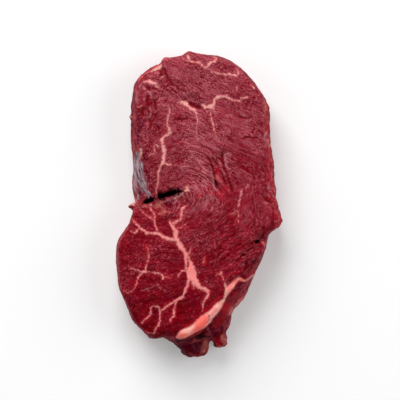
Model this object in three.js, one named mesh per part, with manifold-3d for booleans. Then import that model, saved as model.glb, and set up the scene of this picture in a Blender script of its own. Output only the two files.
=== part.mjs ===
// A raw beef tenderloin steak: one thick slab of meat lying on its cut face, seen best from above.
// Two muscle lobes meet at a deep fold on the left. A tongue and a tip of meat hang out at the near end.
// Millimetres, +Z up. X runs across the steak, +Y points to its far end, and it rests on z = 0.
import * as THREE from "three";
import { ImprovedNoise } from "three/addons/math/ImprovedNoise.js";
import { mergeGeometries, mergeVertices } from "three/addons/utils/BufferGeometryUtils.js";
import Module from "manifold-3d";

// Driving sizes
const THICKNESS = 25; // cut face to cut face
const GIRTH_SHARE = 0.62; // how far down the wall the steak is widest
const FOOT_TUCK = 2.2; // how far the wall turns in again at the board
const RIM_DROP = 2.6; // how much lower the rim lies than the face
const RIM_WIDTH = 6; // width of the rounded band along the rim
const BACKBONE = 42; // half the length of the middle line that the wall leans towards

// Mesh density
const ACROSS = 38;
const ALONG = 70;
const WALL_ROWS = 5;
const EDGE_CROWDING = 0.35; // 0 spreads the rows evenly, 1 crowds them to the rim
const RIM_SAMPLES = 60; // points along each side of the rim path
const CURVE_DIVISIONS = 400; // steps that measure the length of an edge
const WELD_TOLERANCE = 1e-4; // vertices closer than this are one

// The widest outline as four edges that share their corners. Each point is [x, y, lean]:
// lean is how far the rim of the top face lies inside the outline there.
const NEAR_EDGE = [
  [-36.5, -63, 1], [-28, -71.5, 1], [-23.5, -73.5, 1.2], [-20, -72.3, 1], [-11.5, -76.5, 4],
  [-2, -76, 5.5], [6.5, -74, 8], [13, -71, 10],
];
const RIGHT_EDGE = [
  [13, -71, 10], [17, -65.5, 10], [19, -58, 8], [24.5, -51.8, 6.5], [28.2, -43, 4.5],
  [36.2, -24.8, 1.5], [37.3, -19.4, 1.5], [39, -15.8, 1.5], [43.6, -12, 1.8], [45.2, -8.8, 2],
  [44, -6.5, 2], [42.1, 2, 2.7], [41, 14, 3.2], [38.5, 39, 2.7], [37.6, 51, 2], [35.2, 58.3, 1.4],
  [30.4, 64.8, 1.2],
];
const FAR_EDGE = [
  [-31.8, 69.6, 2.4], [-27.5, 72.8, 2.6], [-23.3, 75, 2], [-21.2, 75.4, 1], [-19, 79, 1],
  [-15.5, 79, 1], [-8, 80.8, 1], [-6.2, 83, 1], [-1.7, 81.5, 1], [11.5, 79.6, 1], [24.3, 72, 1.2],
  [30.4, 64.8, 1.2],
];
const LEFT_EDGE = [
  [-36.5, -63, 1], [-39.5, -55, 1], [-43, -46.4, 1.2], [-45, -25, 1.8], [-43.8, -20, 1.5],
  [-38, -10.8, 1.2], [-35.8, -3.2, 1.4], [-34.8, 0, 3.5], [-35.7, 4.3, 9], [-36.2, 12, 7.5],
  [-35.7, 21, 5.2], [-36.9, 32, 4], [-36.8, 45.5, 3.2], [-36.6, 55, 2.6],
  [-35, 64.6, 2], [-31.8, 69.6, 2.4],
];

// The fold where the two lobes meet: a cleft that opens on the left wall and closes inside the face.
const FOLD_PATH = [[-36, 0.4], [-30, 0.6], [-23.3, 3.1], [-16.8, 5.1], [-8.4, 7.2]];
const FOLD_HALF_WIDTH = 2.7; // at its widest
const FOLD_END_SHARE = 0.15; // how much of that width is left where it narrows
const FOLD_SWELL = [0.02, 0.86]; // where the cleft begins and ends on its half wave of width
const FOLD_FLOOR_SHARE = 0.25; // how much of the width is left at its floor
const FOLD_DEPTH = 16; // at the left wall
const FOLD_TIP_SHARE = 0.45; // how much of that depth is left at its inner end
const FOLD_CLEARANCE = 6; // how far the cut reaches over the face
const FOLD_STEPS = 14;
const FOLD_ROWS = 4;

// Pieces that hang out of the wall: centre, half sizes and turn about the vertical, in degrees.
// Fullness 2 makes an ellipsoid, and more makes it blunter.
const HANGING = {
  tongue: { centre: [-2.4, -74.6, 5.2], half: [8.4, 8.6, 7], turn: -8, fullness: 2.6 },
  tongueRoot: { centre: [-9.3, -74.6, 5], half: [8.2, 4, 6.4], turn: -45, fullness: 2.6 },
  tip: { centre: [10.7, -70.6, 6.4], half: [3.8, 7.6, 8], turn: 10, fullness: 4 },
  fatTag: { centre: [-34.9, -1, 12], half: [3.7, 1.4, 2.4], turn: 8, fullness: 2 },
  shred: { centre: [-36.3, 46.8, 12], half: [2, 0.8, 1.6], turn: -6, fullness: 2 },
};
const LUMP_HEIGHT = 0.1; // as a share of their size
const LUMP_PITCH = 2; // lumps along a half size
const HANGING_RINGS = 12;
const HANGING_SLICES = 20;

// Relief of the top face: soft ridges and valleys along paths, each with its height and half width.
const RELIEF = {
  fatStrip: { path: [[-11, -71], [-3, -67.5], [4, -61.5], [12, -53]], rise: 1.3, half: 3 },
  swirl: { path: [[-4, 4], [3, 8], [4, 14]], rise: 1.2, half: 5 },
  crease: { path: [[13.5, 27], [9, 20], [8.5, 13], [11, 6]], rise: -1.8, half: 2.4 },
  farPocket: { path: [[-6, 55.5], [0, 51.5]], rise: -1.5, half: 3 },
  foldShoulder: { path: [[-24, -2], [-12, 1]], rise: -2, half: 4 },
  sidePocket: { path: [[31.5, -20.5], [35, -19]], rise: -2, half: 2 },
  lowerLobe: { path: [[-28, -36], [-22, -46]], rise: 1.2, half: 13 },
  upperLobe: { path: [[-14, 50], [14, 34]], rise: 0.9, half: 15 },
};
const CRAG_HEIGHT = 0.55;
const CRAG_LENGTH = 8.5; // along the grain, which runs across the steak
const CRAG_WIDTH = 4.2;
const CRAG_SLICE = 0.5; // the layer of the noise that the crags follow

const { clamp, degToRad, lerp } = THREE.MathUtils;
const noise = new ImprovedNoise();

// An open smooth curve through [x, y, lean] points.
function edgeCurve(points) {
  const knots = points.map((p) => new THREE.Vector3(...p));
  const curve = new THREE.CatmullRomCurve3(knots, false, "centripetal");
  curve.arcLengthDivisions = CURVE_DIVISIONS;
  return curve;
}

const EDGES = {
  near: edgeCurve(NEAR_EDGE),
  far: edgeCurve(FAR_EDGE),
  left: edgeCurve(LEFT_EDGE),
  right: edgeCurve(RIGHT_EDGE),
};

// Unit vector from an outline point towards the middle line of the steak.
function inward(x, y) {
  const to = new THREE.Vector2(-x, clamp(y, -BACKBONE, BACKBONE) - y);
  return to.normalize();
}

// Outline point and the inset of the wall there, as [x, y]; share runs from the rim, 0, to the board, 1.
function wallPlan(edgePoint, share) {
  const direction = inward(edgePoint.x, edgePoint.y);
  const above = Math.min(share / GIRTH_SHARE, 1);
  const below = Math.max((share - GIRTH_SHARE) / (1 - GIRTH_SHARE), 0);
  const inset = edgePoint.z * (1 - Math.sin((above * Math.PI) / 2)) + FOOT_TUCK * below * below;
  return new THREE.Vector2(edgePoint.x, edgePoint.y).addScaledVector(direction, inset);
}

// Plan of a level of the steak: a patch spanned between its four edges, at u across and v along.
function patchPlan(u, v, share) {
  const side = (name, at) => wallPlan(EDGES[name].getPointAt(at), share);
  const plan = new THREE.Vector2();
  plan.addScaledVector(side("near", u), 1 - v).addScaledVector(side("far", u), v);
  plan.addScaledVector(side("left", v), 1 - u).addScaledVector(side("right", v), u);
  plan.addScaledVector(side("near", 0), -(1 - u) * (1 - v)).addScaledVector(side("near", 1), -u * (1 - v));
  plan.addScaledVector(side("far", 0), -(1 - u) * v).addScaledVector(side("far", 1), -u * v);
  return plan;
}

// Distance from a plan point to a path of [x, y] points.
function distanceToPath(point, path) {
  let nearest = Infinity;
  for (let i = 0; i + 1 < path.length; i++) {
    const a = new THREE.Vector2(...path[i]);
    const span = new THREE.Vector2(...path[i + 1]).sub(a);
    const along = clamp(point.clone().sub(a).dot(span) / (span.lengthSq() || 1), 0, 1);
    nearest = Math.min(nearest, a.addScaledVector(span, along).distanceTo(point));
  }
  return nearest;
}

// Height of the top face before the rim rounds it off.
function reliefAt(point) {
  let height = 0;
  for (const { path, rise, half } of Object.values(RELIEF)) {
    const away = distanceToPath(point, path) / half;
    height += rise * Math.exp(-away * away);
  }
  height += CRAG_HEIGHT * noise.noise(point.x / CRAG_LENGTH, point.y / CRAG_WIDTH, CRAG_SLICE);
  return height;
}

// Evenly spread grid values, crowded a little towards both ends.
function crowded(value) {
  return lerp(value, 0.5 - 0.5 * Math.cos(Math.PI * value), EDGE_CROWDING);
}

// The rim as a closed path, to measure how far a point of the face lies from it.
const RIM_PATH = ["near", "right", "far", "left"].flatMap((name) => {
  const points = EDGES[name].getSpacedPoints(RIM_SAMPLES).map((p) => wallPlan(p, 0).toArray());
  return name === "near" || name === "right" ? points : points.reverse();
});

// A point of the top face.
function facePoint(u, v) {
  const plan = patchPlan(u, v, 0);
  const inRim = Math.max(1 - distanceToPath(plan, RIM_PATH) / RIM_WIDTH, 0);
  const drop = RIM_DROP * inRim * inRim;
  return new THREE.Vector3(plan.x, plan.y, THICKNESS + reliefAt(plan) - drop);
}

// Moves every vertex of a geometry by a rule, and keeps only the positions.
function reshape(geometry, rule) {
  const position = geometry.getAttribute("position");
  const vertex = new THREE.Vector3();
  for (let i = 0; i < position.count; i++) {
    vertex.fromBufferAttribute(position, i);
    position.setXYZ(i, ...rule(vertex).toArray());
  }
  geometry.deleteAttribute("normal");
  geometry.deleteAttribute("uv");
  return geometry;
}

// Grid place (u, v) of a step round the rim, counter-clockwise from the near left corner.
function rimPlace(step) {
  const turns = [ACROSS, ALONG, ACROSS, ALONG];
  let left = step % (2 * (ACROSS + ALONG));
  let side = 0;
  while (left >= turns[side]) left -= turns[side++];
  const at = crowded(left / turns[side]);
  const back = crowded((turns[side] - left) / turns[side]);
  return [[at, 0], [1, at], [back, 1], [0, back]][side];
}

// A point of the wall at a step round the rim; share runs from the rim to the board.
function wallPoint(step, share) {
  const [u, v] = rimPlace(step);
  const rim = facePoint(u, v);
  if (share === 0) return rim;
  const plan = patchPlan(u, v, share);
  return new THREE.Vector3(plan.x, plan.y, rim.z * (1 - share));
}

function slabGeometry() {
  const steps = 2 * (ACROSS + ALONG);
  const gridStep = (value, count) => Math.round((value + 0.5) * count);
  const face = reshape(new THREE.PlaneGeometry(1, 1, ACROSS, ALONG), (p) =>
    facePoint(crowded(gridStep(p.x, ACROSS) / ACROSS), crowded(gridStep(p.y, ALONG) / ALONG)));
  const wall = reshape(new THREE.PlaneGeometry(1, 1, steps, WALL_ROWS), (p) =>
    wallPoint(gridStep(p.x, steps), 1 - gridStep(p.y, WALL_ROWS) / WALL_ROWS));
  const footprint = Array.from({ length: steps }, (_, step) => {
    const foot = wallPoint(step, 1);
    return new THREE.Vector2(foot.x, foot.y);
  });
  const underside = new THREE.ShapeGeometry(new THREE.Shape(footprint));
  underside.index.array.reverse(); // so that it faces down
  return mergeGeometries([face, wall, reshape(underside, (p) => p)]);
}

// The cleft of the fold: a blade that follows the path, thin at its edge and at both ends.
function foldGeometry() {
  const spine = new THREE.CatmullRomCurve3(FOLD_PATH.map(([x, y]) => new THREE.Vector3(x, y, 0)));
  const blade = new THREE.BoxGeometry(1, 1, 1, FOLD_STEPS, 2, FOLD_ROWS);
  return reshape(blade, (p) => {
    const along = p.x + 0.5;
    const deep = 0.5 - p.z;
    const at = spine.getPoint(along);
    const heading = spine.getTangent(along);
    const swell = Math.sin(Math.PI * lerp(...FOLD_SWELL, along));
    const half = FOLD_HALF_WIDTH * lerp(FOLD_END_SHARE, 1, swell) * lerp(1, FOLD_FLOOR_SHARE, deep);
    const floor = THICKNESS - FOLD_DEPTH * Math.sqrt(lerp(1, FOLD_TIP_SHARE ** 2, along));
    const across = p.y * 2 * half;
    return new THREE.Vector3(
      at.x - heading.y * across,
      at.y + heading.x * across,
      lerp(THICKNESS + FOLD_CLEARANCE, floor, deep),
    );
  });
}

// A rounded piece that hangs out of the wall, pressed flat where it would reach below the board.
function hangingGeometry({ centre, half, turn, fullness }) {
  const ball = new THREE.SphereGeometry(1, HANGING_SLICES, HANGING_RINGS);
  const angle = degToRad(turn);
  return reshape(ball, (p) => {
    const at = p.clone().multiplyScalar(LUMP_PITCH);
    const lumpy = 1 + LUMP_HEIGHT * noise.noise(at.x + centre[0], at.y, at.z);
    const powers = p.toArray().map((side) => Math.abs(side) ** fullness);
    const reach = (powers[0] + powers[1] + powers[2]) ** (-1 / fullness);
    const body = p.clone().multiplyScalar(lumpy * reach).multiply(new THREE.Vector3(...half));
    body.applyAxisAngle(new THREE.Vector3(0, 0, 1), angle).add(new THREE.Vector3(...centre));
    return body.setZ(Math.max(body.z, 0));
  });
}

const wasm = await Module();
wasm.setup();

function toSolid(geometry) {
  const merged = mergeVertices(geometry, WELD_TOLERANCE);
  const vertProperties = Float32Array.from(merged.getAttribute("position").array);
  return new wasm.Manifold(
    new wasm.Mesh({ numProp: 3, vertProperties, triVerts: Uint32Array.from(merged.index.array) }),
  );
}

function toGeometry(solid) {
  const { vertProperties, triVerts } = solid.getMesh();
  const geometry = new THREE.BufferGeometry();
  geometry.setAttribute("position", new THREE.BufferAttribute(vertProperties, 3));
  geometry.setIndex(new THREE.BufferAttribute(triVerts, 1));
  geometry.computeVertexNormals();
  return geometry;
}

function steakGeometry() {
  const folded = toSolid(slabGeometry()).subtract(toSolid(foldGeometry()));
  const hanging = Object.values(HANGING).map((piece) => toSolid(hangingGeometry(piece)));
  const geometry = toGeometry(hanging.reduce((whole, piece) => whole.add(piece), folded));
  geometry.computeBoundingBox();
  const { min, max } = geometry.boundingBox;
  return geometry.translate(-(min.x + max.x) / 2, -(min.y + max.y) / 2, -min.z);
}

const meat = new THREE.MeshStandardMaterial({ color: 0x7c1a28, roughness: 0.38, metalness: 0 });
const steak = new THREE.Mesh(steakGeometry(), meat);
steak.name = "steak";

const part = new THREE.Group();
part.add(steak);

export default part;
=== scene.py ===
"""A raw beef tenderloin steak on a pale floor.

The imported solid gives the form. This script wraps it in a fine even skin, works the grain, the fat and the
tears into that skin, and dresses it in one moist meat material.
"""

import math

import bmesh
import bpy
import numpy as np
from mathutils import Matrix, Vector, noise


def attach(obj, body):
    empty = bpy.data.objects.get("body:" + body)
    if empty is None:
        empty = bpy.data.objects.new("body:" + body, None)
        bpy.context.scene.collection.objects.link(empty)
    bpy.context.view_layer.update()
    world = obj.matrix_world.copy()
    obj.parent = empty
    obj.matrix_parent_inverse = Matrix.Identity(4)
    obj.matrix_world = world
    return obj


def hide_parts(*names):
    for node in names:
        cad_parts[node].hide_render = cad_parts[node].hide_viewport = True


bl_info = {
    "name": "Raw tenderloin steak",
    "version": (1, 0, 0),
    "blender": (4, 5, 0),
    "location": "3D View > Sidebar > Steak",
    "description": "Builds a raw marbled steak around its solid, and the stage that shows it",
    "category": "Object",
}

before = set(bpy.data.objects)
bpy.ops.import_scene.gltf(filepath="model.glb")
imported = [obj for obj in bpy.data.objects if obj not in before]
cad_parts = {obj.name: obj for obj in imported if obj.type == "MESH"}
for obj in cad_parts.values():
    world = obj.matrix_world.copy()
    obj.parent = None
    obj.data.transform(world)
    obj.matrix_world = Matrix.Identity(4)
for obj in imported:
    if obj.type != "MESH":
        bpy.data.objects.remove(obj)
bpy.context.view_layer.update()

STEAK_NODE = "steak"
MM = 0.001

# Places on the cut face were read off the photograph, so they are in its pixels.
PHOTO_SIDE = 400
PHOTO_ORIGIN = (199.1, 204.0)
MM_PER_PIXEL = 0.54

# Fat that runs through the meat, and one painted highlight, the left glint: points (x, y, width) of each
# vein, in pixels.
FAT_VEINS = {
    "trunk": [(169, 219.5, 1.2), (171.5, 225, 2.4), (174, 228, 4.2), (175.7, 231, 5.6), (176, 237, 4.8),
        (179, 243, 4.7), (184, 251, 4.7), (187, 257, 4.8)],
    "trunk right": [(188.5, 257, 3.4), (190.5, 263, 4), (191.2, 268, 6.5), (192.3, 274, 9),
        (195.5, 281, 8.8), (198.5, 285.5, 5.6), (203, 288, 4), (207, 290.3, 4.2), (208.8, 293, 2.8),
        (206, 298, 2.5), (203.5, 303, 2.2), (202.5, 311, 1)],
    "trunk foot": [(191.5, 275, 6), (193.3, 282, 4.4), (194, 288.5, 1)],
    "trunk left": [(185.7, 256, 3.4), (186, 263, 3), (186, 268, 2.4), (187.5, 273, 3), (189, 279, 3.8),
        (186.5, 287, 3.3), (184, 294, 3), (180, 298, 3), (174, 301.5, 3), (167, 306, 2.6),
        (160, 312, 2)],
    "trunk twig": [(187.8, 257, 1.6), (189.5, 252, 1.5), (191, 246, 0.8)],
    "loop left": [(160, 313, 2), (159.5, 308, 1.8), (157, 306, 1.8), (153, 306, 1.7), (151, 308, 1.7),
        (150.5, 312, 1.7), (149, 316, 1.7), (145, 319, 1.7), (142, 323, 1.4)],
    "loop right": [(160, 313, 2), (160, 319, 2), (158, 325, 2), (155, 330, 1.8), (153, 333, 1.5),
        (145, 331, 1)],
    "low twig": [(176, 301, 2.2), (175, 306, 2.2), (174, 313, 2.2), (174.5, 316, 2), (171, 318, 1.8),
        (171, 321, 1.4)],
    "side twig": [(186, 269.5, 2.2), (182, 271, 2), (179.5, 274, 1.6), (178.5, 277, 0.9)],
    "left branch": [(176, 240, 4.2), (170, 239, 4.3), (165, 237.5, 4), (159, 234, 3.6), (153, 233, 3.2),
        (147, 233, 2.8), (143, 230, 2.8), (140, 227, 2.5), (136, 223.5, 2), (133, 220, 1.5)],
    "left branch end": [(140, 227, 1.8), (137.5, 231, 1.8), (134, 232.5, 1.8), (131, 231, 1.5)],
    "rising branch": [(158, 233, 2.2), (156.5, 228, 1.9), (154.5, 222, 2), (155, 216, 1.8),
        (152.5, 211, 1.7), (150, 208, 1.6)],
    "rising fork": [(154.5, 221, 1.6), (149, 217, 1.5), (144.5, 213, 1.4), (141, 209.5, 1.3),
        (138, 207, 1.6)],
    "crown": [(172, 224, 2.8), (176, 222, 2.8), (181, 219, 2.8), (181.3, 214, 2.6), (182, 209, 2.4),
        (186, 206, 2.2)],
    "crown twig": [(177, 228.5, 1.5), (182, 227, 1.5), (187, 223, 1.2)],
    "lobe heart": [(141, 272, 1.8), (145, 271.5, 2.4), (148, 271.8, 1.2), (151, 272.3, 0.9)],
    "lobe right": [(152, 272.5, 1.8), (157, 273, 2.2), (161, 274, 2.6), (163, 278.5, 1.9)],
    "lobe right end": [(162, 276, 1.5), (167, 277, 1.2), (171, 278, 0.8)],
    "lobe top": [(145, 271.5, 2), (147, 264, 1.5), (149, 257, 1.4), (148.5, 251, 1.2), (146, 245, 0.9)],
    "lobe low": [(143, 272, 2), (140, 275, 1.8), (137.5, 280, 1.5), (137, 284, 1.2), (133, 290, 1.1),
        (128, 292.5, 1.1), (124, 290, 0.9)],
    "lobe left": [(141, 271.5, 1.8), (136, 269, 1.8), (131, 268, 1.4)],
    "upper vein": [(168.5, 106, 1.5), (170, 112, 2), (167.5, 119, 2), (168, 125, 2.5), (169.5, 130, 3.5),
        (171, 133, 3.2), (166, 136, 3), (162.5, 139, 3.5), (162.5, 145, 4), (164.5, 150, 4.5),
        (164, 157, 4), (163, 163, 3), (160, 168, 2.5), (158, 174, 2), (158.5, 180, 2), (157, 186, 1.7),
        (156.5, 194, 1.4)],
    "upper twig left": [(162, 147, 1.6), (158, 146.5, 1.6), (155, 145.5, 1.7), (154.5, 150, 1.6),
        (154, 153.5, 1.6), (149.5, 155.5, 1.4)],
    "upper twig right": [(163, 164, 2.4), (167, 164, 2.3), (171, 164.8, 2.4)],
    "upper twig top": [(168, 106, 1.3), (164, 106, 1.2), (162, 104, 1.1)],
    "arc left": [(179.5, 102.3, 2), (182.5, 102.8, 4), (186, 104.4, 4.8), (188.8, 106.8, 2.4)],
    "arc knee": [(188, 106.6, 2.2), (190.5, 108.8, 3.4), (193.5, 110.2, 3.6), (195.8, 112, 2.6)],
    "arc stem": [(195.6, 112, 2.2), (196.6, 116, 1.8), (197.6, 120, 1.9), (197.2, 123.5, 1.6)],
    "arc stem twig": [(197.2, 118, 1.3), (199.4, 121, 1), (200.2, 125, 0.7)],
    "arc left tail": [(197.2, 123, 1.8), (196.4, 129, 1.2), (196.6, 135, 1.4), (198.5, 140, 1)],
    "arc barb": [(183, 103, 1.2), (180.5, 99.5, 1.1), (178.5, 97, 0.8)],
    "arc right": [(201.5, 104.8, 1.6), (203.5, 105.5, 3.2), (206, 107.4, 3.8), (209, 107, 3.6),
        (211.5, 106.5, 4.8), (213.6, 104.8, 3.2)],
    "arc right rise": [(213.8, 106, 3), (214, 102, 2.8), (214.8, 99.4, 3.2), (217, 97.8, 3.8),
        (220, 96.6, 3.4), (223.5, 96.8, 2.8), (227, 98, 2.8), (232, 100, 2.4), (236, 101.2, 2),
        (240, 101, 2)],
    "arc right spur": [(205.6, 107.4, 1.8), (204.6, 109.8, 1)],
    "arc right leg": [(213, 107, 1.8), (214.3, 110, 1.3), (214.8, 114, 0.8)],
    "arc right end": [(241, 98.5, 1.8), (247, 97.5, 2)],
    "arc drop": [(210.5, 110, 1), (211, 117, 1.4), (213, 125, 1.9), (215, 132, 1.6), (216.8, 140, 1)],
    "far hook": [(188, 57, 3), (191, 62, 2.6), (198, 62.5, 2.5), (201, 64, 2.4), (205, 68, 2.6),
        (208, 67, 2.8), (210.5, 63, 3), (215, 62, 2.6), (216, 58, 2.2), (213, 56.5, 1.8)],
    "far line": [(211, 72, 1.5), (217, 73.5, 1.9), (224, 74.5, 2.2), (231, 75, 2.2), (237, 75.5, 2.2),
        (238, 72, 2), (236.5, 69.5, 2)],
    "far fleck": [(237, 87, 1.5), (236.5, 91, 1.4)],
    "far right fleck": [(251, 85, 1.8), (254, 88.5, 1.8)],
    "right twig": [(247.5, 185, 1.6), (246, 188, 1.4)],
    "right line": [(242, 189, 1.4), (241, 195, 1.6), (239.5, 200, 1.7), (238, 206, 1.5)],
    "right line end": [(237.5, 211, 1.2), (238, 216, 1.3), (238.5, 222, 1.2)],
    "right cross": [(231, 214, 1), (237, 211, 1.2)],
    "middle fleck": [(214, 240, 0.7), (215, 248, 0.9)],
    "middle speck": [(205, 256, 0.9), (203, 262, 1.1)],
    "strip fleck": [(216, 275, 1.6), (221, 273, 2.5)],
    "strip thread": [(221, 274, 1.2), (224, 281, 1.3), (226, 287, 1.3)],
    "haze thread": [(184, 142, 1), (190, 145, 1.1), (199, 148, 0.9)],
    "swirl thread": [(191, 157, 1), (196, 157.5, 1.3), (198.5, 160.5, 1.3), (200, 164, 1.2),
        (203, 168, 1.4), (206.3, 171, 1.2)],
    "fork thread": [(180, 167, 0.9), (190, 166, 1)],
    "far left vein": [(144.5, 82, 2), (149, 82, 3.6), (153, 83.2, 3.4), (156, 85, 2.8), (158.5, 88.5, 2)],
    "gouge bridge": [(136.5, 107, 1), (140, 107, 1.5), (144, 106, 1.2)],
    # A painted highlight, drawn like a fleck of vein fat.
    "left glint": [(143, 88.6, 1.6), (145.5, 89, 1.6)],
}

# The thick strip of fat along the near right rim, in pixels.
FAT_STRIP = {
    "strip": [(177.5, 336.8, 3), (180.5, 335.2, 6.4), (184, 333.2, 8.6), (188, 331.4, 8.4),
        (192, 329.4, 8.2), (196, 326.8, 9.2), (200, 323.8, 11), (204.5, 320.4, 11.8), (207.5, 317.4, 9.2),
        (210, 315, 7.8), (213.5, 311.5, 7.6), (217.5, 306.5, 6.8), (221.3, 302.2, 4.8),
        (224.3, 298.7, 2.4)],
    "neck": [(224, 298, 2), (226.3, 294, 3.6), (227.5, 291, 5.6), (229.3, 287.8, 6), (232, 284.6, 5),
        (234.5, 281.5, 4), (238, 279, 3.8), (241, 279.3, 3.4), (244, 280.3, 2.2), (249, 278.5, 1.4),
        (254, 275, 1.2)],
    "fork": [(225, 283.5, 1.6), (226, 287.5, 2.6), (227.3, 291, 4)],
}

# Warm salmon hearts of that strip and of the thickest veins, in pixels.
WARM_HEARTS = {
    "strip": [(188, 335, 2), (194, 331, 4.5), (198, 326.5, 8.5), (201, 322, 10.5), (204, 318.5, 8),
        (205.5, 315.5, 4)],
    "strip end": [(178.5, 336.5, 3.5), (182, 335, 4.5), (185.5, 334, 3)],
    "trunk": [(190, 264, 2.5), (191, 270, 4), (192, 276, 3), (193, 280, 1)],
    "branch": [(184, 251, 1.5), (186, 257, 2), (186, 263, 1.5)],
    "neck": [(228, 290, 1), (231.5, 285, 2.4), (235, 281, 2.6), (241, 280, 2.8), (248, 278.5, 2)],
}

# Dark red mottles on the strip, in pixels.
STRIP_MOTTLES = {
    "upper": [(207.8, 314, 1), (208.8, 316.3, 1.8), (208.6, 318, 1)],
    "middle": [(208.3, 319.3, 1.2), (209.2, 319.8, 1)],
    "lower": [(207.2, 321.3, 1.2), (207.8, 322.7, 1.4)],
}

# Dry fat and connective tissue left on the rim, in pixels.
RIM_FAT = {
    "fold tag": [(127, 205.5, 2), (131, 204, 3), (134, 202.5, 2.5)],
    "skin top": [(141, 149.5, 2.4), (140.3, 154, 3.4), (139.3, 158.5, 2.2)],
    "skin foot": [(132.5, 182, 1.6), (132.4, 190, 2.6), (133, 198, 2.6), (133.5, 203, 2)],
    "far left stripe": [(150.5, 71, 1.8), (155.5, 68.5, 3.4), (160.5, 66.5, 3)],
    "far left patch": [(160, 80, 1.2), (162, 77.5, 1.4), (164.5, 76, 1)],
    "left spur": [(127, 117, 1.5), (131, 117, 2)],
    "slit edge": [(174.8, 198.3, 1.3), (177, 196.5, 1.4), (180, 195, 1.4), (182, 193, 1.4),
        (183.8, 191.6, 1)],
    "slit end": [(185, 190.8, 1.4), (187, 190, 2.4), (187.3, 188, 1.2)],
    "lip spot": [(149.5, 205.4, 0.8), (152, 204.8, 1)],
}

# Dull see-through tissue at the fold's lips, on the left wall, the near edge and the torn ends, in pixels.
LIP_TISSUE = {
    "lip": [(153, 205.5, 1), (156, 205, 2.6), (160, 204, 3.4), (163, 203, 1.6)],
    "lip streak": [(154, 207.5, 0.8), (159, 207, 1.4), (165, 207.5, 0.8)],
    "lip left": [(143, 206.5, 1.5), (147, 206.5, 2.2), (151, 207, 1.5)],
    "lip low": [(159, 214, 1.5), (162.5, 212.5, 3), (166, 211, 1.5)],
    "slit end": [(184.5, 190.5, 2), (186.8, 189.5, 4.5), (187.5, 186.5, 3)],
    "wall pink": [(132.5, 143, 1.5), (134, 149, 3), (136, 154, 2.5)],
    "tip end": [(222, 336, 3), (223.8, 341, 5.4), (224.6, 345, 4.4)],
    "tip foot": [(214.5, 344, 1), (219, 346.3, 2), (225, 346.5, 2.2)],
    "tongue side": [(204.5, 340.5, 4), (206, 345, 7), (204.5, 350, 7), (202.5, 353, 4)],
    "near edge": [(240, 301, 3), (236, 306, 4), (232, 310.5, 5), (230, 314.5, 3)],
}

# Silverskin over the left wall beside the fold, in pixels.
SILVERSKIN = {
    "band": [(137, 154.5, 6.5), (137, 162, 9.5), (138, 170, 10.5), (139.8, 177, 9.5), (142.3, 183, 7.5),
        (144.8, 188, 6.2), (148, 193, 5), (151, 196.3, 3)],
    "foot left": [(135.5, 176, 4), (135.3, 182, 3.6), (136, 189, 3), (137.6, 195, 2), (140, 200, 1)],
    "foot right": [(138, 178, 3), (140, 186, 2.2), (142.5, 192, 2), (145.5, 197, 1.2)],
}

# Small lilac strands of tissue, and painted glints of light, in pixels.
LILAC_GLINTS = {
    "crease lobe": [(224.2, 156, 1.2), (226, 153.3, 1.7), (231, 155, 1.3)],
    "crease lobe low": [(224.8, 157, 1.8), (225.8, 163, 2.4), (227.5, 169, 1.6)],
    "crease strand": [(211, 174.5, 1.2), (213, 178, 1.7), (213.6, 185, 1.4), (213.2, 190, 1)],
    "slit right": [(186.5, 188.8, 1.2), (189.5, 187.6, 1.8), (192, 186, 1.2)],
    "lip upper": [(165.5, 201.3, 1.2), (169, 199.4, 1.5), (174, 198.8, 1.3)],
    "lip lower": [(172, 203, 1), (175, 202.5, 1.7), (176.3, 200, 1)],
    "scratch": [(141, 291, 0.2), (150, 287.5, 0.3), (158, 284.5, 0.3)],
    "lobe glint": [(156, 285.5, 0.4), (161, 288, 0.8), (165, 290, 0.4)],
    "near streak": [(208.8, 330, 1), (210.5, 334, 1.6), (211.7, 338, 1)],
    "strip edge": [(206.5, 328.5, 1), (209, 325, 1.6), (210.6, 321, 1.8), (212.5, 317.5, 1.2)],
    "wall bead": [(268, 186, 1.8), (268.6, 188.3, 2)],
    "wall line": [(264.6, 132.5, 1.2), (264.4, 140.5, 1.4)],
    "far left": [(146.5, 91, 1.4), (150, 93, 2), (152, 98, 1.2)],
    "far left low": [(150, 108, 1.2), (151, 114, 1.8), (148.5, 118, 1.2)],
    "far left edge": [(137.5, 92, 1.2), (136.5, 100, 1.6), (137.5, 104, 1.2)],
}

# Dark purple flesh by the fold and the silverskin, on the left walls, on the near right slope
# and on the torn ends, and painted shade in recesses, in hollows and on the tongue under the strip, in
# pixels.
DARK_FLESH_AND_SHADE = {
    "knob pit": [(161, 71.5, 1.4), (162, 74, 3), (161.8, 76.5, 1.4)],
    "arc recess": [(189.5, 103.2, 1.5), (194, 105.6, 3.6), (199.5, 107.6, 1.5)],
    "near slope": [(212, 335, 8), (216, 330, 12), (218, 324, 6)],
    "near hollow": [(238, 290, 3), (243, 284, 5), (247, 281, 3)],
    "tongue": [(176, 343, 8), (186, 348, 14), (198, 350, 13)],
    "fold flesh": [(138.5, 184, 3), (140.3, 191, 6), (144, 197.5, 7), (149, 198.5, 3)],
    "near left wall": [(148, 337, 2), (158, 340, 4), (168, 342, 5)],
    "lip hollow": [(164, 204, 3), (167.5, 205, 6), (171.5, 204, 4)],
    "left wall": [(136, 113, 3), (140, 123, 8), (138.5, 135, 6), (136.5, 146, 2)],
    "beside skin": [(143.5, 156, 2), (145, 164, 3), (147.3, 173, 3.4), (150.5, 182, 3.4), (153, 190, 2)],
    "far left wall": [(135, 88, 2), (133, 98, 3), (132, 112, 3), (132.5, 126, 3)],
}

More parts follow.
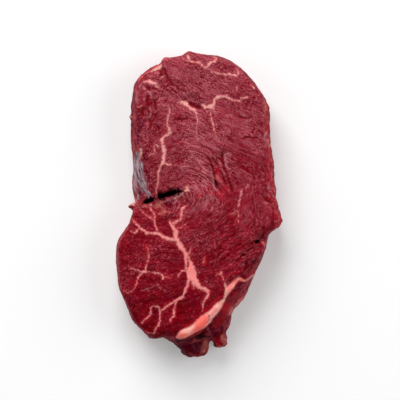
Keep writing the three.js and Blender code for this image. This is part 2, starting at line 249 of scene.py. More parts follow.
# Dull grey-purple skin of the tongue and of the far edge, partly a painted sheen of the moist surface,
# in pixels.
DUSKY_SKIN_AND_SHEEN = {
    "tongue strand": [(192.6, 341, 1), (193.6, 346, 1.8), (196, 352, 1.2)],
    "tongue strand right": [(197, 342.5, 0.8), (198.5, 347, 1.4), (198, 351, 0.8)],
    "tongue facet": [(171, 340.5, 1.5), (176.5, 345.5, 4.6), (182, 351, 4.4), (186, 355, 2)],
    "far edge": [(205, 53, 1.2), (225, 58.5, 1.4), (242, 69, 1.4), (256, 84, 1.2)],
}

# Fresh bright blood-red lines and spots, in pixels.
BRIGHT_RED = {
    "strip seam": [(185, 327, 0.8), (191, 322.8, 1.8), (196, 318, 1.8), (199.5, 315, 2.2),
        (203, 312.6, 3.2), (207.5, 309, 3), (212, 304, 2.6), (217, 299, 2.2), (222, 295.5, 1.4)],
    "strip under": [(186, 338.4, 1), (191, 335.6, 2.4), (197, 333.4, 2.4), (202, 330.8, 1.4)],
    "neck seam": [(229, 285, 1.5), (232, 281.5, 2), (236, 277.5, 1.5)],
    "crease upper": [(212.5, 161, 2), (216, 168, 4.4), (219, 175, 5.4), (222.5, 183, 4), (226, 191, 2.4)],
    "swirl glow": [(197, 196, 4), (203, 193, 8), (209, 190, 8), (214, 194, 5)],
    "crease body": [(217.8, 179.5, 1.6), (219.5, 182.5, 4), (219.3, 185, 2)],
    "crease lower": [(222.5, 190, 1), (221, 195, 2.2), (223.5, 200, 1.8)],
    "strip end": [(242, 278.5, 2), (247, 276.5, 2.6), (252, 273.5, 2.4), (256, 270.5, 1.6)],
    "tip": [(215, 339, 3), (217.5, 342.5, 6), (219.5, 345, 3)],
    "fold foot": [(135.5, 201.6, 1.4), (137, 202.5, 1.6)],
    "near slope": [(219, 323, 8), (222, 314, 9), (228, 304, 9), (235, 295, 6)],
    "pit a": [(265.5, 126.8, 3.4), (266.5, 129.5, 3.8)],
    "pit b": [(266.5, 149.5, 3.6), (268.5, 152.5, 4.4)],
    "pit c": [(268, 160, 4), (268.5, 164, 5.4), (268, 167.5, 3.4)],
    "pit d": [(269, 177, 2.8), (270.5, 181, 3.4), (271, 185, 3.2)],
    "pit e": [(268.5, 198.8, 1.5), (271.5, 201.5, 2.2)],
    "pit f": [(258.5, 119.5, 1.6), (261, 121, 1.6)],
    "pit g": [(262.8, 131.6, 2), (260.8, 133, 1.4)],
    "gouge a": [(147.3, 95.5, 1.5), (147.2, 101, 3), (148.5, 105.5, 1.5)],
    "gouge b": [(143, 111.5, 1), (142.8, 113.5, 2), (143.2, 115.5, 1.4)],
    "gouge d": [(156, 113.5, 0.6), (154, 118, 1.4), (152, 122, 0.6)],
    "corner": [(281.8, 219, 2), (280.5, 223, 3.5), (277, 228, 3.8)],
}

# Red-orange flesh, mostly on the rim, and a painted highlight on the crease spot, in pixels.
RED_RIM_AND_HIGHLIGHT = {
    "far left rim": [(137, 80.5, 1), (139.5, 78, 2.6), (142, 75.5, 1.4)],
    "far left spot": [(145, 73, 1.6), (148, 71, 3), (150, 69.5, 1)],
    "far left end": [(154, 66.3, 1), (157, 65, 1.6)],
    "far knob": [(162, 58.3, 3), (166, 58, 2.4)],
    # A painted highlight on the bright red crease.
    "crease spot": [(216.6, 176, 1.4), (218.3, 178.8, 2.2), (221, 181.8, 1.4)],
    "near edge": [(243, 298, 2), (240, 301.5, 3)],
    "tongue edge": [(207.5, 341.5, 1.4), (208.6, 345, 1.8), (206, 350.5, 1.6)],
    "wall edge": [(272.8, 178, 1.4), (274.8, 188, 1.6)],
}

# Pale tan spots of the right wall and of the near right edge, in pixels.
WALL_KNOBS = {
    "stripe": [(265, 103, 1.4), (265.6, 110, 2.4), (265.3, 118, 1.8)],
    "bead": [(266.5, 131.5, 1.8), (266.8, 134.3, 2.2)],
    "lower bead": [(268, 140, 2), (268.5, 146, 2.4)],
    "patch": [(262.8, 201.3, 0.8), (266.8, 203.4, 1.2)],
    "upper patch": [(266, 195, 0.9), (268.8, 196.3, 1.2)],
    "beside pit": [(261.5, 242.2, 0.8), (263.8, 243.2, 2.4), (265, 246.2, 1.8)],
    "near edge": [(241, 299.5, 1.6), (238, 304, 3), (234, 308.5, 4.4), (230.5, 312.5, 4),
        (229, 315, 1.6)],
}

# The knobbly bright red right wall, in pixels.
RIGHT_WALL = {
    "wall": [(266, 104, 4), (268, 126, 7), (270.3, 154, 8.5), (273.5, 186, 9), (278.5, 211, 8),
        (275.5, 231, 5), (265, 251, 2)],
}

# Hollows that lie in deep shade: the fold's slits, pits, and gaps under the strip and between the torn ends,
# in pixels.
DARK_HOLLOWS = {
    "slit left": [(142.5, 203.6, 0.6), (146, 202.3, 2.4), (149, 200.4, 3.6), (152, 198.8, 3.8),
        (153.4, 198.2, 2)],
    "slit right": [(160.5, 199, 2.6), (162, 197.6, 4.8), (164.5, 195.2, 4), (168, 194.5, 4),
        (172, 193.8, 5), (176, 192.4, 6), (180, 191.8, 3.6), (183.3, 191.4, 1)],
    "slit peak": [(174.5, 191, 3), (177, 189.2, 2.6), (178, 188.4, 0.8)],
    "slit foot": [(161, 198.5, 2.5), (163.3, 199.2, 1.5)],
    "under strip": [(194.5, 336.8, 1.8), (197.5, 337.8, 4.6), (201.5, 337.4, 3.8), (205.5, 336.3, 3),
        (210, 337.5, 2)],
    "strip corner": [(176.3, 338.8, 1.5), (178, 340.2, 2.2), (181, 340.6, 1.6)],
    "strip line": [(181, 340.8, 1), (188, 340.2, 1.4), (194, 338.8, 1.8)],
    "rim pit": [(256.2, 242.2, 1.6), (257.4, 241.6, 2.8), (258.6, 241.5, 1.4)],
    "crease hole": [(216, 183, 0.8), (217.3, 186, 1.3)],
    "near spot": [(229.3, 317, 1.6), (231.5, 316.8, 2)],
}

# Cracks, tears and troughs of the cut face, whose bottoms also get painted shade: points in pixels, then half
# width and depth in millimetres.
TEARS = {
    "right crack": ([(243, 139.2), (246.5, 137.6), (251, 137.6), (257.5, 138.2)], 0.6, 0.5),
    "upper crack": ([(239, 117), (242.5, 117.9), (247, 118.4), (250.8, 117.6)], 0.6, 0.5),
    "left crack": ([(174, 120), (180, 119.8), (187, 119)], 0.5, 0.55),
    "arc recess": ([(189.5, 103.2), (193, 105), (196.5, 107), (200, 108)], 0.8, 0.9),
    "crease left": ([(208, 158), (211, 163), (213, 168), (214.5, 174), (215, 180), (216, 185),
        (217.5, 188)], 0.55, 0.5),
    "crease hole": ([(215.8, 181.5), (217.3, 187)], 0.5, 0.9),
    "crease middle": ([(213, 158), (217, 164), (220, 170), (223, 177), (225, 184)], 0.45, 0.35),
    "crease right": ([(222.5, 154), (222.6, 163), (224.5, 169), (227, 175), (229, 182), (231, 187),
        (232.3, 191)], 0.65, 0.55),
    "wall line": ([(261.5, 194), (266, 199.5), (271.5, 202.8)], 0.5, 0.8),
    "rim pit": ([(256.4, 242), (258.4, 241.4)], 0.75, 2.0),
    "strip gap": ([(184, 341), (194, 339), (203, 334), (210, 326)], 1.1, 2.4),
    "gouge a": ([(148, 96.5), (147.4, 101), (148.4, 105.5)], 0.8, 0.5),
    "gouge b": ([(143.6, 108), (142.4, 111.5), (143, 115.5)], 0.85, 0.5),
    "gouge c": ([(155, 100.5), (155.3, 105), (156.3, 109)], 0.6, 0.5),
    "gouge d": ([(157.3, 114), (155, 118), (153, 121.5)], 0.6, 0.45),
    "gouge e": ([(148.6, 120), (150.8, 123), (151.2, 126), (148.6, 129.2)], 0.65, 0.5),
    "gouge f": ([(157, 126.8), (159, 129)], 0.5, 0.4),
    "gouge g": ([(149.8, 111.5), (149.6, 116)], 0.55, 0.4),
    "gouge far": ([(147, 88.2), (150, 90.2)], 0.7, 0.5),
    "gouge far right": ([(153.5, 88.6), (156.6, 89.6)], 0.7, 0.5),
    "knob step": ([(162.4, 60), (162.2, 66), (162.6, 71)], 0.45, 0.8),
    "far notch": ([(160.8, 71.5), (162, 76)], 0.7, 1.2),
    "far trough": ([(164.5, 70), (167, 76), (171, 82), (178, 87.5)], 0.6, 0.8),
    "scale a": ([(236, 261), (239, 259.5), (242, 255.5), (245, 255)], 0.42, 1.0),
    "scale b": ([(246, 264), (247.5, 260.5), (251, 259)], 0.4, 0.7),
    "scale c": ([(223, 260), (226, 256.5), (229, 256)], 0.38, 0.7),
    "scale d": ([(247, 252), (250, 249), (253, 248.5)], 0.4, 0.7),
    "lip hollow": ([(164.3, 204), (166.5, 205.2), (170, 205)], 0.6, 0.6),
    "lobe nick": ([(154.5, 256), (158, 254), (161.5, 252.5)], 0.35, 0.7),
}

# Which way the grain runs: pixel place, degrees anticlockwise from +X, and reach in pixels. It turns
# clockwise from the far half, round the inner end of the fold, to the near half.
GRAIN_HINTS = {
    "far knob": (176, 62, -30, 14),
    "far end": (200, 84, -22, 20),
    "far right": (236, 84, -12, 22),
    "upper crack": (236, 118, -6, 22),
    "gouges": (150, 108, 82, 14),
    "upper vein": (182, 122, -4, 20),
    "far middle": (184, 148, -8, 16),
    "above crease": (210, 146, -28, 14),
    "right crack": (252, 142, 4, 20),
    "above fold": (166, 178, 8, 14),
    "right": (238, 168, -10, 16),
    "right wall": (258, 196, -46, 18),
    "centre": (214, 216, -156, 16),
    "right line": (236, 228, -138, 18),
    "right corner": (268, 222, -48, 12),
    "between": (214, 254, -138, 18),
    "near right": (242, 256, -140, 20),
    "trunk right": (206, 285, -150, 18),
    "lobe": (150, 250, -190, 20),
    "lobe left": (138, 288, -166, 22),
    "lobe right": (166, 286, -160, 20),
    "near": (190, 308, -168, 18),
    "lobe end": (152, 322, -148, 18),
    "strip end": (184, 328, -110, 10),
}
SWIRL_CENTRE = (180, 191)
SWIRL_REACH = 30
SWIRL_WEIGHT = 3.0
SWIRL_FADE_MM = 6

# How the meat looks from place to place: pixel place, reach in pixels, then pale haze, which is partly a
# painted sheen, darkness, coarseness, how far it is drawn out into strands, contrast of its grain, and how
# even that grain is in all directions.
MEAT_ZONES = {
    "far end": (208, 74, 30, 0.38, 0.02, 0.15, 0.3, 0.85, 0.2),
    "far middle": (200, 128, 34, 0.36, -0.13, 0.2, 0.6, 1.0, 0.15),
    "far right": (246, 112, 28, 0.32, 0.0, 0.15, 0.2, 0.8, 0.35),
    "far left": (149, 105, 20, 0.38, -0.05, 0.5, 0.0, 1.4, 0.35),
    "left": (160, 165, 22, 0.26, 0.05, 0.1, 0.1, 0.95, 0.2),
    "swirl": (203, 191, 10, 0.62, -0.3, 0.2, 2.2, 2.7, 0.2),
    "swirl top": (205, 169, 13, 0.34, -0.02, 0.2, 1.3, 1.7, 0.2),
    "crease": (221, 176, 9, 0.28, 0.0, 0.2, 1.1, 1.0, 0.0),
    "fold foot": (196, 206, 14, 0.3, -0.05, 0.2, 0.8, 1.2, 0.2),
    "centre": (200, 230, 20, 0.08, -0.09, 0.4, 0.4, 2.3, 0.2),
    "right": (250, 190, 22, 0.24, -0.13, 0.4, 0.1, 0.95, 0.7),
    "right corner": (268, 214, 14, 0.2, 0.0, 0.3, 0.0, 0.9, 1.0),
    "near right": (236, 254, 28, 0.04, -0.02, 1.0, 0.4, 1.2, 0.0),
    "lobe": (150, 256, 28, -0.02, 0.05, 0.1, 0.2, 1.15, 0.5),
    "between": (206, 262, 16, -0.16, 0.14, 0.5, 0.2, 1.3, 0.2),
    "lobe end": (146, 314, 22, -0.18, 0.24, 0.1, 0.2, 1.1, 0.5),
    "near": (192, 312, 22, -0.2, 0.28, 0.2, 0.1, 1.1, 0.4),
}

# The fold's middle line, in pixels, and places where it is shut: pixel place, then the distances in
# millimetres at which it is still shut and fully open.
FOLD_LINE = [(132.4, 203.3), (143.5, 202.9), (156, 198.3), (168, 194.6), (183.5, 190.7)]
FOLD_SHUT = {
    "bridge": (155.7, 198.5, 0.7, 2.2),
    "inner end": (184.2, 190.6, 0.2, 3.6),
    "outer end": (142, 203.3, 0.3, 2.6),
}

# The pixel column from which the fold is dark inside, how far from its line its lips are moved in full and at
# all, how nearly it is shut, and the height of its rim.
FOLD_DARK_FROM = 142.5
FOLD_FULL_MM = 2.4
FOLD_REACH_MM = 7.0
FOLD_SHUT_SHARE = 0.93
FOLD_RIM_MM = 25.0

# How each set of ribbons is laid on the steak: the wobble of its middle lines in millimetres, and how uneven
# its widths are. The order of the sets is the order of the random draws.
RIBBONS = {
    "fat_gap": (FAT_VEINS, 0.16, 1.1),
    "strip_gap": (FAT_STRIP, 0.04, 0.2),
    "heart_gap": (WARM_HEARTS, 0.2, 1.0),
    "rim_gap": (RIM_FAT, 0.2, 1.0),
    "lip_gap": (LIP_TISSUE, 0.2, 1.0),
    "skin_gap": (SILVERSKIN, 0.2, 1.0),
    "lilac_gap": (LILAC_GLINTS, 0.1, 1.0),
    "flesh_shade_gap": (DARK_FLESH_AND_SHADE, 0.2, 1.0),
    "dusky_sheen_gap": (DUSKY_SKIN_AND_SHEEN, 0.1, 1.0),
    "blood_gap": (BRIGHT_RED, 0.2, 1.0),
    "red_rim_highlight_gap": (RED_RIM_AND_HIGHLIGHT, 0.2, 1.0),
    "knob_gap": (WALL_KNOBS, 0.2, 1.0),
    "knobbly_gap": (RIGHT_WALL, 0.2, 1.0),
    "hollow_gap": (DARK_HOLLOWS, 0.1, 0.5),
    "mottle_gap": (STRIP_MOTTLES, 0.1, 1.0),
}

# How far widths vary from those given, as shares, and how far from ribbons and tears distances are measured.
WIDTH_SPREAD = (-0.3, 0.2)
GAP_REACH_MM = 3.0
TEAR_REACH_MM = 6.0

# Ranges over which something eases in: how far a face is turned up, then heights and places in millimetres.
FACING_UP = (0.25, 0.75)
FACING_UP_OR_DOWN = (0.35, 0.8)
OFF_FLOOR = (0.2, 1.5)
FAR_WALL = (58, 64)
FAR_WALL_FAT = (17, 22)
HOLLOWS_FROM = (2, 6)
TORN_END = (-72, -64)
TORN_BELOW = (15, 20)
HIGH_ON_WALL = (14, 19)
NEAR_WALL = (40, 46)
HIGH_ON_NEAR_WALL = (3, 7)

# Sizes of the relief in millimetres: along the grain, across it and in height on the cut face, and along the
# three axes on the walls.
WARP_SIZE = (5.0, 5.0, 9.0)
BUNDLE_SIZE = (6.0, 2.2, 9.0)
SCALE_SIZE = (4.6, 2.6, 9.0)
FIBRE_SIZE = (2.6, 1.0, 6.0)
WALL_SIZE = (7, 7, 9)
WALL_RIB_SIZE = (1.8, 1.8, 8)
WALL_KNOB_SIZE = (3.5, 4.5, 4.5)
RAG_SIZE = (3.2, 4.5, 3.2)
FINE_RAG_SIZE = (1.5, 2.2, 1.5)
STRIP_BEAD_MM = 2.8
STRIP_SIDE_MM = 3

# How the skin is wrapped and smoothed: sizes in millimetres, and the least upward turn of the faces to halve.
MERGE_MM = 0.01
SMOOTHING_ROUNDS = 2
HALVED_ABOVE_MM = 12
HALVED_FACING_UP = 0.45

# The meat's finish: units of pattern for each millimetre of height, where the warmer near half begins and is
# full, in metres, and the gloss and bump of the moist surface.
PATTERN_PER_MM = 0.15
NEAR_HALF = (0.004, -0.006)
MOIST_GLOSS = 0.025
BUMP_STRENGTH = 0.6
BUMP_DISTANCE = 0.00025

# The stage: half the floor's side in metres, how far it lies below the steak in millimetres, and where the
# lights stand.
FLOOR_HALF_SIDE = 3.0
FLOOR_DROP_MM = 0.2
FLOOR_ROUGHNESS = 0.9
LIGHT_HEADINGS = {
    "far": (-0.27, 0.83, 0.59),
    "left": (-0.8, 0.1, 0.6),
    "right": (0.8, 0.1, 0.6),
    "near": (-0.3, -0.78, 0.6),
}


def shade(red, green, blue):
    """A colour given as it looks on screen, 0 to 255, as the linear colour that Blender holds."""
    def linear(value):
        level = value / 255
        return level / 12.92 if level <= 0.04045 else ((level + 0.055) / 1.055) ** 2.4
    return (linear(red), linear(green), linear(blue))


def colour_property(name, description, default):
    return bpy.props.FloatVectorProperty(
        name=name, description=description, subtype="COLOR", size=3, min=0.0, max=1.0, default=default)


def length_property(name, description, default, **limits):
    return bpy.props.FloatProperty(
        name=name, description=description, default=default, unit="LENGTH", **limits)


def strength_property(name, description, default):
    return bpy.props.FloatProperty(name=name, description=description, default=default, min=0.0)


class SteakShape(bpy.types.PropertyGroup):
    """Sizes of the steak's skin and relief."""

    voxel: length_property(
        "Skin step", "Spacing of the skin's faces, halved on the cut face", 0.0009, min=0.0005)
    grain_height: length_property("Grain height", "Relief of the muscle bundles on the cut face", 0.0003)
    fibre_height: length_property("Fibre height", "Relief of the single fibres on the cut face", 0.00009)
    vein_height: length_property("Vein height", "How far fat veins stand proud", 0.0002)
    strip_height: length_property("Strip height", "How far the thick strip of fat stands proud", 0.0003)
    strip_tilt: bpy.props.FloatProperty(
        name="Strip tilt", description="How much the strip's outer edge is raised, which levels it",
        default=0.2)
    wall_height: length_property("Wall lumps", "Relief of the outer walls", 0.0005)
    ragged_height: length_property("Ragged ends", "Relief of the torn near ends", 0.0008)
    fold_pinch: bpy.props.FloatProperty(
        name="Fold pinch", description="How far the fold's lips are drawn together", default=0.05,
        min=0.0, max=0.9, subtype="FACTOR")
    seed: bpy.props.IntProperty(
        name="Seed", description="Seed of the wobble and widths of veins and patches", default=7)


class SteakColours(bpy.types.PropertyGroup):
    """Colours of the steak."""

    deep: colour_property("Deep red", "Lean meat in its grooves and shaded parts", shade(90, 0, 4))
    lean: colour_property("Lean red", "Lean meat", shade(135, 3, 30))
    # Partly the paler pink of moist bundles, partly a painted sheen of light on the wet surface.
    pale_sheen: colour_property("Pink haze", "Lean meat where its moist bundles turn pale", shade(182, 94, 107))
    # Also laid as painted glints, small highlights of light on the moist fibres.
    thread_and_glint: colour_property("Pale thread", "Fine connective threads between bundles", shade(204, 130, 134))
    fat: colour_property("Vein fat", "Pale middle of the fat veins", shade(222, 154, 148))
    fat_warm: colour_property("Warm vein fat", "Fat veins of the near half", shade(230, 141, 137))
    fat_edge: colour_property("Vein edge", "Reddened edge of the fat veins", shade(186, 88, 92))
    strip: colour_property("Strip fat", "Pale fat of the thick strip", shade(252, 178, 166))
    strip_low: colour_property("Strip pink", "Pinker patches of the thick strip", shade(240, 142, 136))
    heart: colour_property("Warm heart", "Warm salmon middle of the thick fat", shade(252, 112, 103))
    rim: colour_property("Rim fat", "Dry fat and tissue on the rim", shade(222, 162, 148))
    lip: colour_property("Lip tissue", "Dull tissue at the fold's lips and torn ends", shade(196, 108, 98))
    # Strands of tissue, and painted glints of light.
    lilac: colour_property("Lilac", "Small moist strands and glints", shade(184, 120, 130))
    # Partly a painted sheen on the tongue's moist strands and facet and along the far edge.
    dusky_and_sheen: colour_property("Dusky skin", "Dull skin of the torn near end", shade(90, 54, 66))
    skin: colour_property("Silverskin", "Pale strands of the membrane on the left wall", shade(172, 148, 156))
    plum: colour_property("Plum", "Dark meat that shows through the membrane", shade(86, 30, 46))
    # Real purple of the flesh, and also painted shade in recesses and on the tongue under the strip.
    purple_and_shade: colour_property("Purple flesh", "Dark flesh of the slopes and torn ends", shade(92, 0, 27))
    blood: colour_property("Fresh red", "Bright moist red beside the fat", shade(166, 0, 26))
    # Painted shade: the dark red laid in the bottom of cracks and tears.
    tear_shade: colour_property("Tear red", "Bottom of cracks and tears", shade(106, 0, 8))
    # Also a painted highlight on the crease.
    red_rim_and_highlight: colour_property("Rim red", "Red-orange flesh on the rim", shade(218, 84, 86))
    wall: colour_property("Wall red", "Lean meat of the outer walls", shade(174, 68, 80))
    knob: colour_property("Wall knobs", "Tan spots of the right wall", shade(212, 112, 112))
    shade: colour_property("Shaded hollow", "Bottom of the fold and hollows", shade(8, 1, 2))


class StageSettings(bpy.types.PropertyGroup):
    """Camera, lights and floor."""

    lens: bpy.props.FloatProperty(
        name="Lens", description="Focal length in millimetres, long for a flat view from above",
        default=400.0)
    focus_height: length_property(
        "Focus height", "Height at which the frame has the photograph's scale", 0.018)
    light_size: length_property("Light size", "Side of each large soft light", 2.0)
    light_distance: length_property("Light distance", "From the steak to each light", 2.6)
    far_power: strength_property("Far light", "Watts of the main light, beyond the far end", 91.0)
    left_power: strength_property("Left light", "Watts of the light on the left", 13.0)
    right_power: strength_property("Right light", "Watts of the light on the right", 32.0)
    near_power: strength_property("Near light", "Watts of the weak light at the near end", 4.5)
    fill: strength_property("Fill", "Brightness of the even light from all round", 0.12)
    floor: colour_property("Floor", "Colour of the floor", (0.7, 0.7, 0.7))
    floor_glow: strength_property(
        "Floor glow", "Light of the floor's own, which keeps its shadows pale", 0.22)


def on_steak(points):
    """Photograph pixels, with widths if any, as millimetres on the steak and half widths."""
    rows = np.array(points, float)
    placed = rows.copy()
    placed[:, 0] = (rows[:, 0] - PHOTO_ORIGIN[0]) * MM_PER_PIXEL
    placed[:, 1] = (PHOTO_ORIGIN[1] - rows[:, 1]) * MM_PER_PIXEL
    if rows.shape[1] > 2:
        placed[:, 2] = rows[:, 2] * MM_PER_PIXEL / 2
    return placed


def flowing(rows, steps=4):
    """A smooth run of rows through the given ones, Catmull-Rom style."""
    padded = np.vstack([2 * rows[0] - rows[1], rows, 2 * rows[-1] - rows[-2]])
    out = []
    for before, start, end, after in zip(padded, padded[1:], padded[2:], padded[3:]):
        for t in np.arange(steps) / steps:
            out.append(0.5 * (2 * start + (end - before) * t
                              + (2 * before - 5 * start + 4 * end - after) * t * t
                              + (3 * start - before - 3 * end + after) * t ** 3))
    out.append(rows[-1])
    return np.array(out)


def path_gap(plan, rows, reach):
    """Distance from plan points to the edge of a ribbon of (x, y, half width) rows: below 0 inside it."""
    gap = np.full(len(plan), float(reach))
    low = rows[:, :2].min(0) - rows[:, 2].max() - reach
    high = rows[:, :2].max(0) + rows[:, 2].max() + reach
    near = np.flatnonzero(((plan > low) & (plan < high)).all(1))
    spots = plan[near]
    best = gap[near]
    for start, end in zip(rows, rows[1:]):
        span = end[:2] - start[:2]
        along = np.clip((spots - start[:2]) @ span / max(span @ span, 1e-9), 0, 1)
        away = np.linalg.norm(spots - start[:2] - along[:, None] * span, axis=1)
        best = np.minimum(best, away - (start[2] + along * (end[2] - start[2])))
    gap[near] = best
    return gap


def beside_path(plan, rows):
    """How far along a path of (x, y, ...) rows plan points lie, and how far to its right."""
    steps = np.diff(rows[:, :2], axis=0)
    lengths = np.linalg.norm(steps, axis=1)
    travelled = np.concatenate([[0], np.cumsum(lengths)])
    nearest = np.full(len(plan), np.inf)
    along = np.zeros(len(plan))
    right = np.zeros(len(plan))
    for start, step, length, before in zip(rows[:, :2], steps, lengths, travelled):
        heading = step / length
        offset = plan - start
        run = np.clip(offset @ heading, 0, length)
        away = np.linalg.norm(offset - run[:, None] * heading, axis=1)
        closer = away < nearest
        nearest[closer] = away[closer]
        along[closer] = (before + run)[closer]
        right[closer] = (offset @ (heading[1], -heading[0]))[closer]
    return along, right


def bare_line(points, steps=4):
    """A smooth line through pixel points, as rows of (x, y, half width) without width."""
    line = flowing(on_steak(points), steps)
    return np.hstack([line, np.zeros((len(line), 1))])


def ribbon_gap(plan, chooser, ribbons, wobble, uneven):
    """Distance to the edge of the nearest of several pixel ribbons, each with a natural wobble and width."""
    gap = np.full(len(plan), GAP_REACH_MM)
    for points in ribbons.values():
        rows = flowing(on_steak(points))
        rows[1:-1, :2] += chooser.normal(0, wobble, (len(rows) - 2, 2))
        rows[:, 2] *= 1 + uneven * chooser.uniform(*WIDTH_SPREAD, len(rows))
        gap = np.minimum(gap, path_gap(plan, rows, GAP_REACH_MM))
    return gap


def ease(value, low, high):
    """0 at low, 1 at high, and smooth between them."""
    t = np.clip((value - low) / (high - low), 0, 1)
    return t * t * (3 - 2 * t)


def grain_heading(plan):
    """Unit vectors along the grain, blended from the hints and the swirl round the inner end of the fold."""
    blend = np.zeros((len(plan), 2))
    for x, y, degrees, reach in GRAIN_HINTS.values():
        centre = on_steak([(x, y)])[0]
        weight = np.exp(-((plan - centre) ** 2).sum(1) / (reach * MM_PER_PIXEL) ** 2) + 1e-6
        angle = math.radians(degrees)
        blend += weight[:, None] * (math.cos(angle), math.sin(angle))
    away = plan - on_steak([SWIRL_CENTRE])[0]
    radius = np.linalg.norm(away, axis=1) + 1e-6
    weight = SWIRL_WEIGHT * np.exp(-(radius / (SWIRL_REACH * MM_PER_PIXEL)) ** 2)
    weight *= ease(away[:, 0], -SWIRL_FADE_MM, SWIRL_FADE_MM)
    blend += (weight / radius)[:, None] * np.stack([away[:, 1], -away[:, 0]], 1)
    return blend / (np.linalg.norm(blend, axis=1, keepdims=True) + 1e-9)


class GrainMap:
    """Lays coordinates along and across the grain over the steak, so that patterns can follow it.

    Both are found on a grid, in millimetres, as the numbers whose slopes fit the grain best. They part at the
    fold.
    """

    CELL = 1.0
    HALF_SIZE = (50, 88)
    ROUNDS = 500
    EASE_TO_ZERO = 1e-6

    def __init__(self):
        across, up = (np.arange(-half, half + 1) * self.CELL for half in self.HALF_SIZE)
        nodes = np.stack(np.meshgrid(across, up, indexing="ij"), -1)
        fold = on_steak(FOLD_LINE)
        side = np.sign(nodes[..., 1] - np.interp(nodes[..., 0], fold[:, 0], fold[:, 1]))
        side *= nodes[..., 0] < fold[-1, 0]
        self.joined = (side[1:] * side[:-1] >= 0, side[:, 1:] * side[:, :-1] >= 0)
        middles = ((nodes[1:] + nodes[:-1]) / 2, (nodes[:, 1:] + nodes[:, :-1]) / 2)
        right, far = (grain_heading(m.reshape(-1, 2)).reshape(m.shape) for m in middles)
        self.along = self.fit(right[..., 0], far[..., 1])
        self.across = self.fit(-right[..., 1], far[..., 0])

    def spread(self, steps):
        """What each node gets from the steps on the edges beside it."""
        out = np.zeros([2 * half + 1 for half in self.HALF_SIZE])
        out[1:] += steps[0]
        out[:-1] -= steps[0]
        out[:, 1:] += steps[1]
        out[:, :-1] -= steps[1]
        return out

    def pull(self, values):
        steps = (self.joined[0] * np.diff(values, axis=0), self.joined[1] * np.diff(values, axis=1))
        return self.spread(steps) + self.EASE_TO_ZERO * values

    def fit(self, right_slope, far_slope):
        """Conjugate gradients: the grid whose slopes are nearest to those wanted."""
        left_over = self.spread((
            self.joined[0] * right_slope * self.CELL, self.joined[1] * far_slope * self.CELL))
        values = np.zeros_like(left_over)
        heading = left_over.copy()
        error = (left_over ** 2).sum()
        for _ in range(self.ROUNDS):
            pulled = self.pull(heading)
            stride = error / (heading * pulled).sum()
            values += stride * heading
            left_over -= stride * pulled
            last, error = error, (left_over ** 2).sum()
            heading = left_over + error / last * heading
        return values

    def at(self, plan):
        """The two coordinates at plan points."""
        place = plan / self.CELL + self.HALF_SIZE
        i, j = np.floor(place).astype(int).T
        s, t = (place - np.floor(place)).T
        return [
            (grid[i, j] * (1 - s) + grid[i + 1, j] * s) * (1 - t)
            + (grid[i, j + 1] * (1 - s) + grid[i + 1, j + 1] * s) * t
            for grid in (self.along, self.across)]


def meat_zones(plan):
    """Haze, which is partly a painted sheen, darkness, coarseness, strands, contrast and evenness at plan
    points, blended from the zones.
    """
    total = np.zeros((len(plan), 6))
    weights = np.zeros((len(plan), 1))
    for x, y, reach, *looks in MEAT_ZONES.values():
        away = ((plan - on_steak([(x, y)])[0]) ** 2).sum(1) / (reach * MM_PER_PIXEL) ** 2
        weight = 1 / (0.15 + away[:, None]) ** 2
        total += weight * looks
        weights += weight
    return (total / weights).T


def lumps(points, size):
    """Smooth noise of about the given size at each point, both in millimetres."""
    return np.array([noise.noise(Vector(p)) for p in points / np.asarray(size)])


def domes(points, size):
    """Round-topped cells of about the given size, in millimetres: 1 on top, 0 or less between them."""
    return np.array([1 - 1.6 * noise.voronoi(Vector(p))[0][0] for p in points / np.asarray(size)])


def wrapped_copy(node, voxel):
    """A merged copy of a CAD node as a new object, wrapped anew in even quads."""
    mesh = node.data.copy()
    mesh.materials.clear()
    work = bmesh.new()
    work.from_mesh(mesh)
    bmesh.ops.remove_doubles(work, verts=work.verts, dist=MERGE_MM * MM)
    work.to_mesh(mesh)
    work.free()
    piece = bpy.data.objects.new("raw_steak", mesh)
    bpy.context.scene.collection.objects.link(piece)
    wrap = piece.modifiers.new("Wrap", "REMESH")
    wrap.mode = "VOXEL"
    wrap.voxel_size = voxel
    evaluated = piece.evaluated_get(bpy.context.evaluated_depsgraph_get())
    piece.data = bpy.data.meshes.new_from_object(evaluated)
    piece.modifiers.clear()
    return piece


def refine_cut_face(mesh):
    """Halves the faces of the upper side, after a light smoothing of the whole skin."""
    work = bmesh.new()
    work.from_mesh(mesh)
    for _ in range(SMOOTHING_ROUNDS):
        bmesh.ops.smooth_vert(
            work, verts=work.verts, factor=0.5, use_axis_x=True, use_axis_y=True, use_axis_z=True)
    work.normal_update()
    upper = {
        edge for face in work.faces
        if face.normal.z > HALVED_FACING_UP and face.calc_center_median().z > HALVED_ABOVE_MM * MM
        for edge in face.edges}
    bmesh.ops.subdivide_edges(work, edges=list(upper), cuts=1, use_grid_fill=True)
    work.to_mesh(mesh)
    work.free()


def read_vectors(collection, name):
    values = np.empty(len(collection) * 3, np.float32)
    collection.foreach_get(name, values)
    return values.reshape(-1, 3).astype(float)


def store(mesh, name, values):
    """Keeps one number for each vertex under a name that the material reads."""
    layer = mesh.attributes.new(name, "FLOAT", "POINT")
    layer.data.foreach_set("value", np.ascontiguousarray(values, np.float32))


def place_vertices(mesh, points):
    """Puts the mesh's vertices at points given in millimetres."""
    mesh.vertices.foreach_set("co", (points * MM).astype(np.float32).ravel())
    mesh.update()


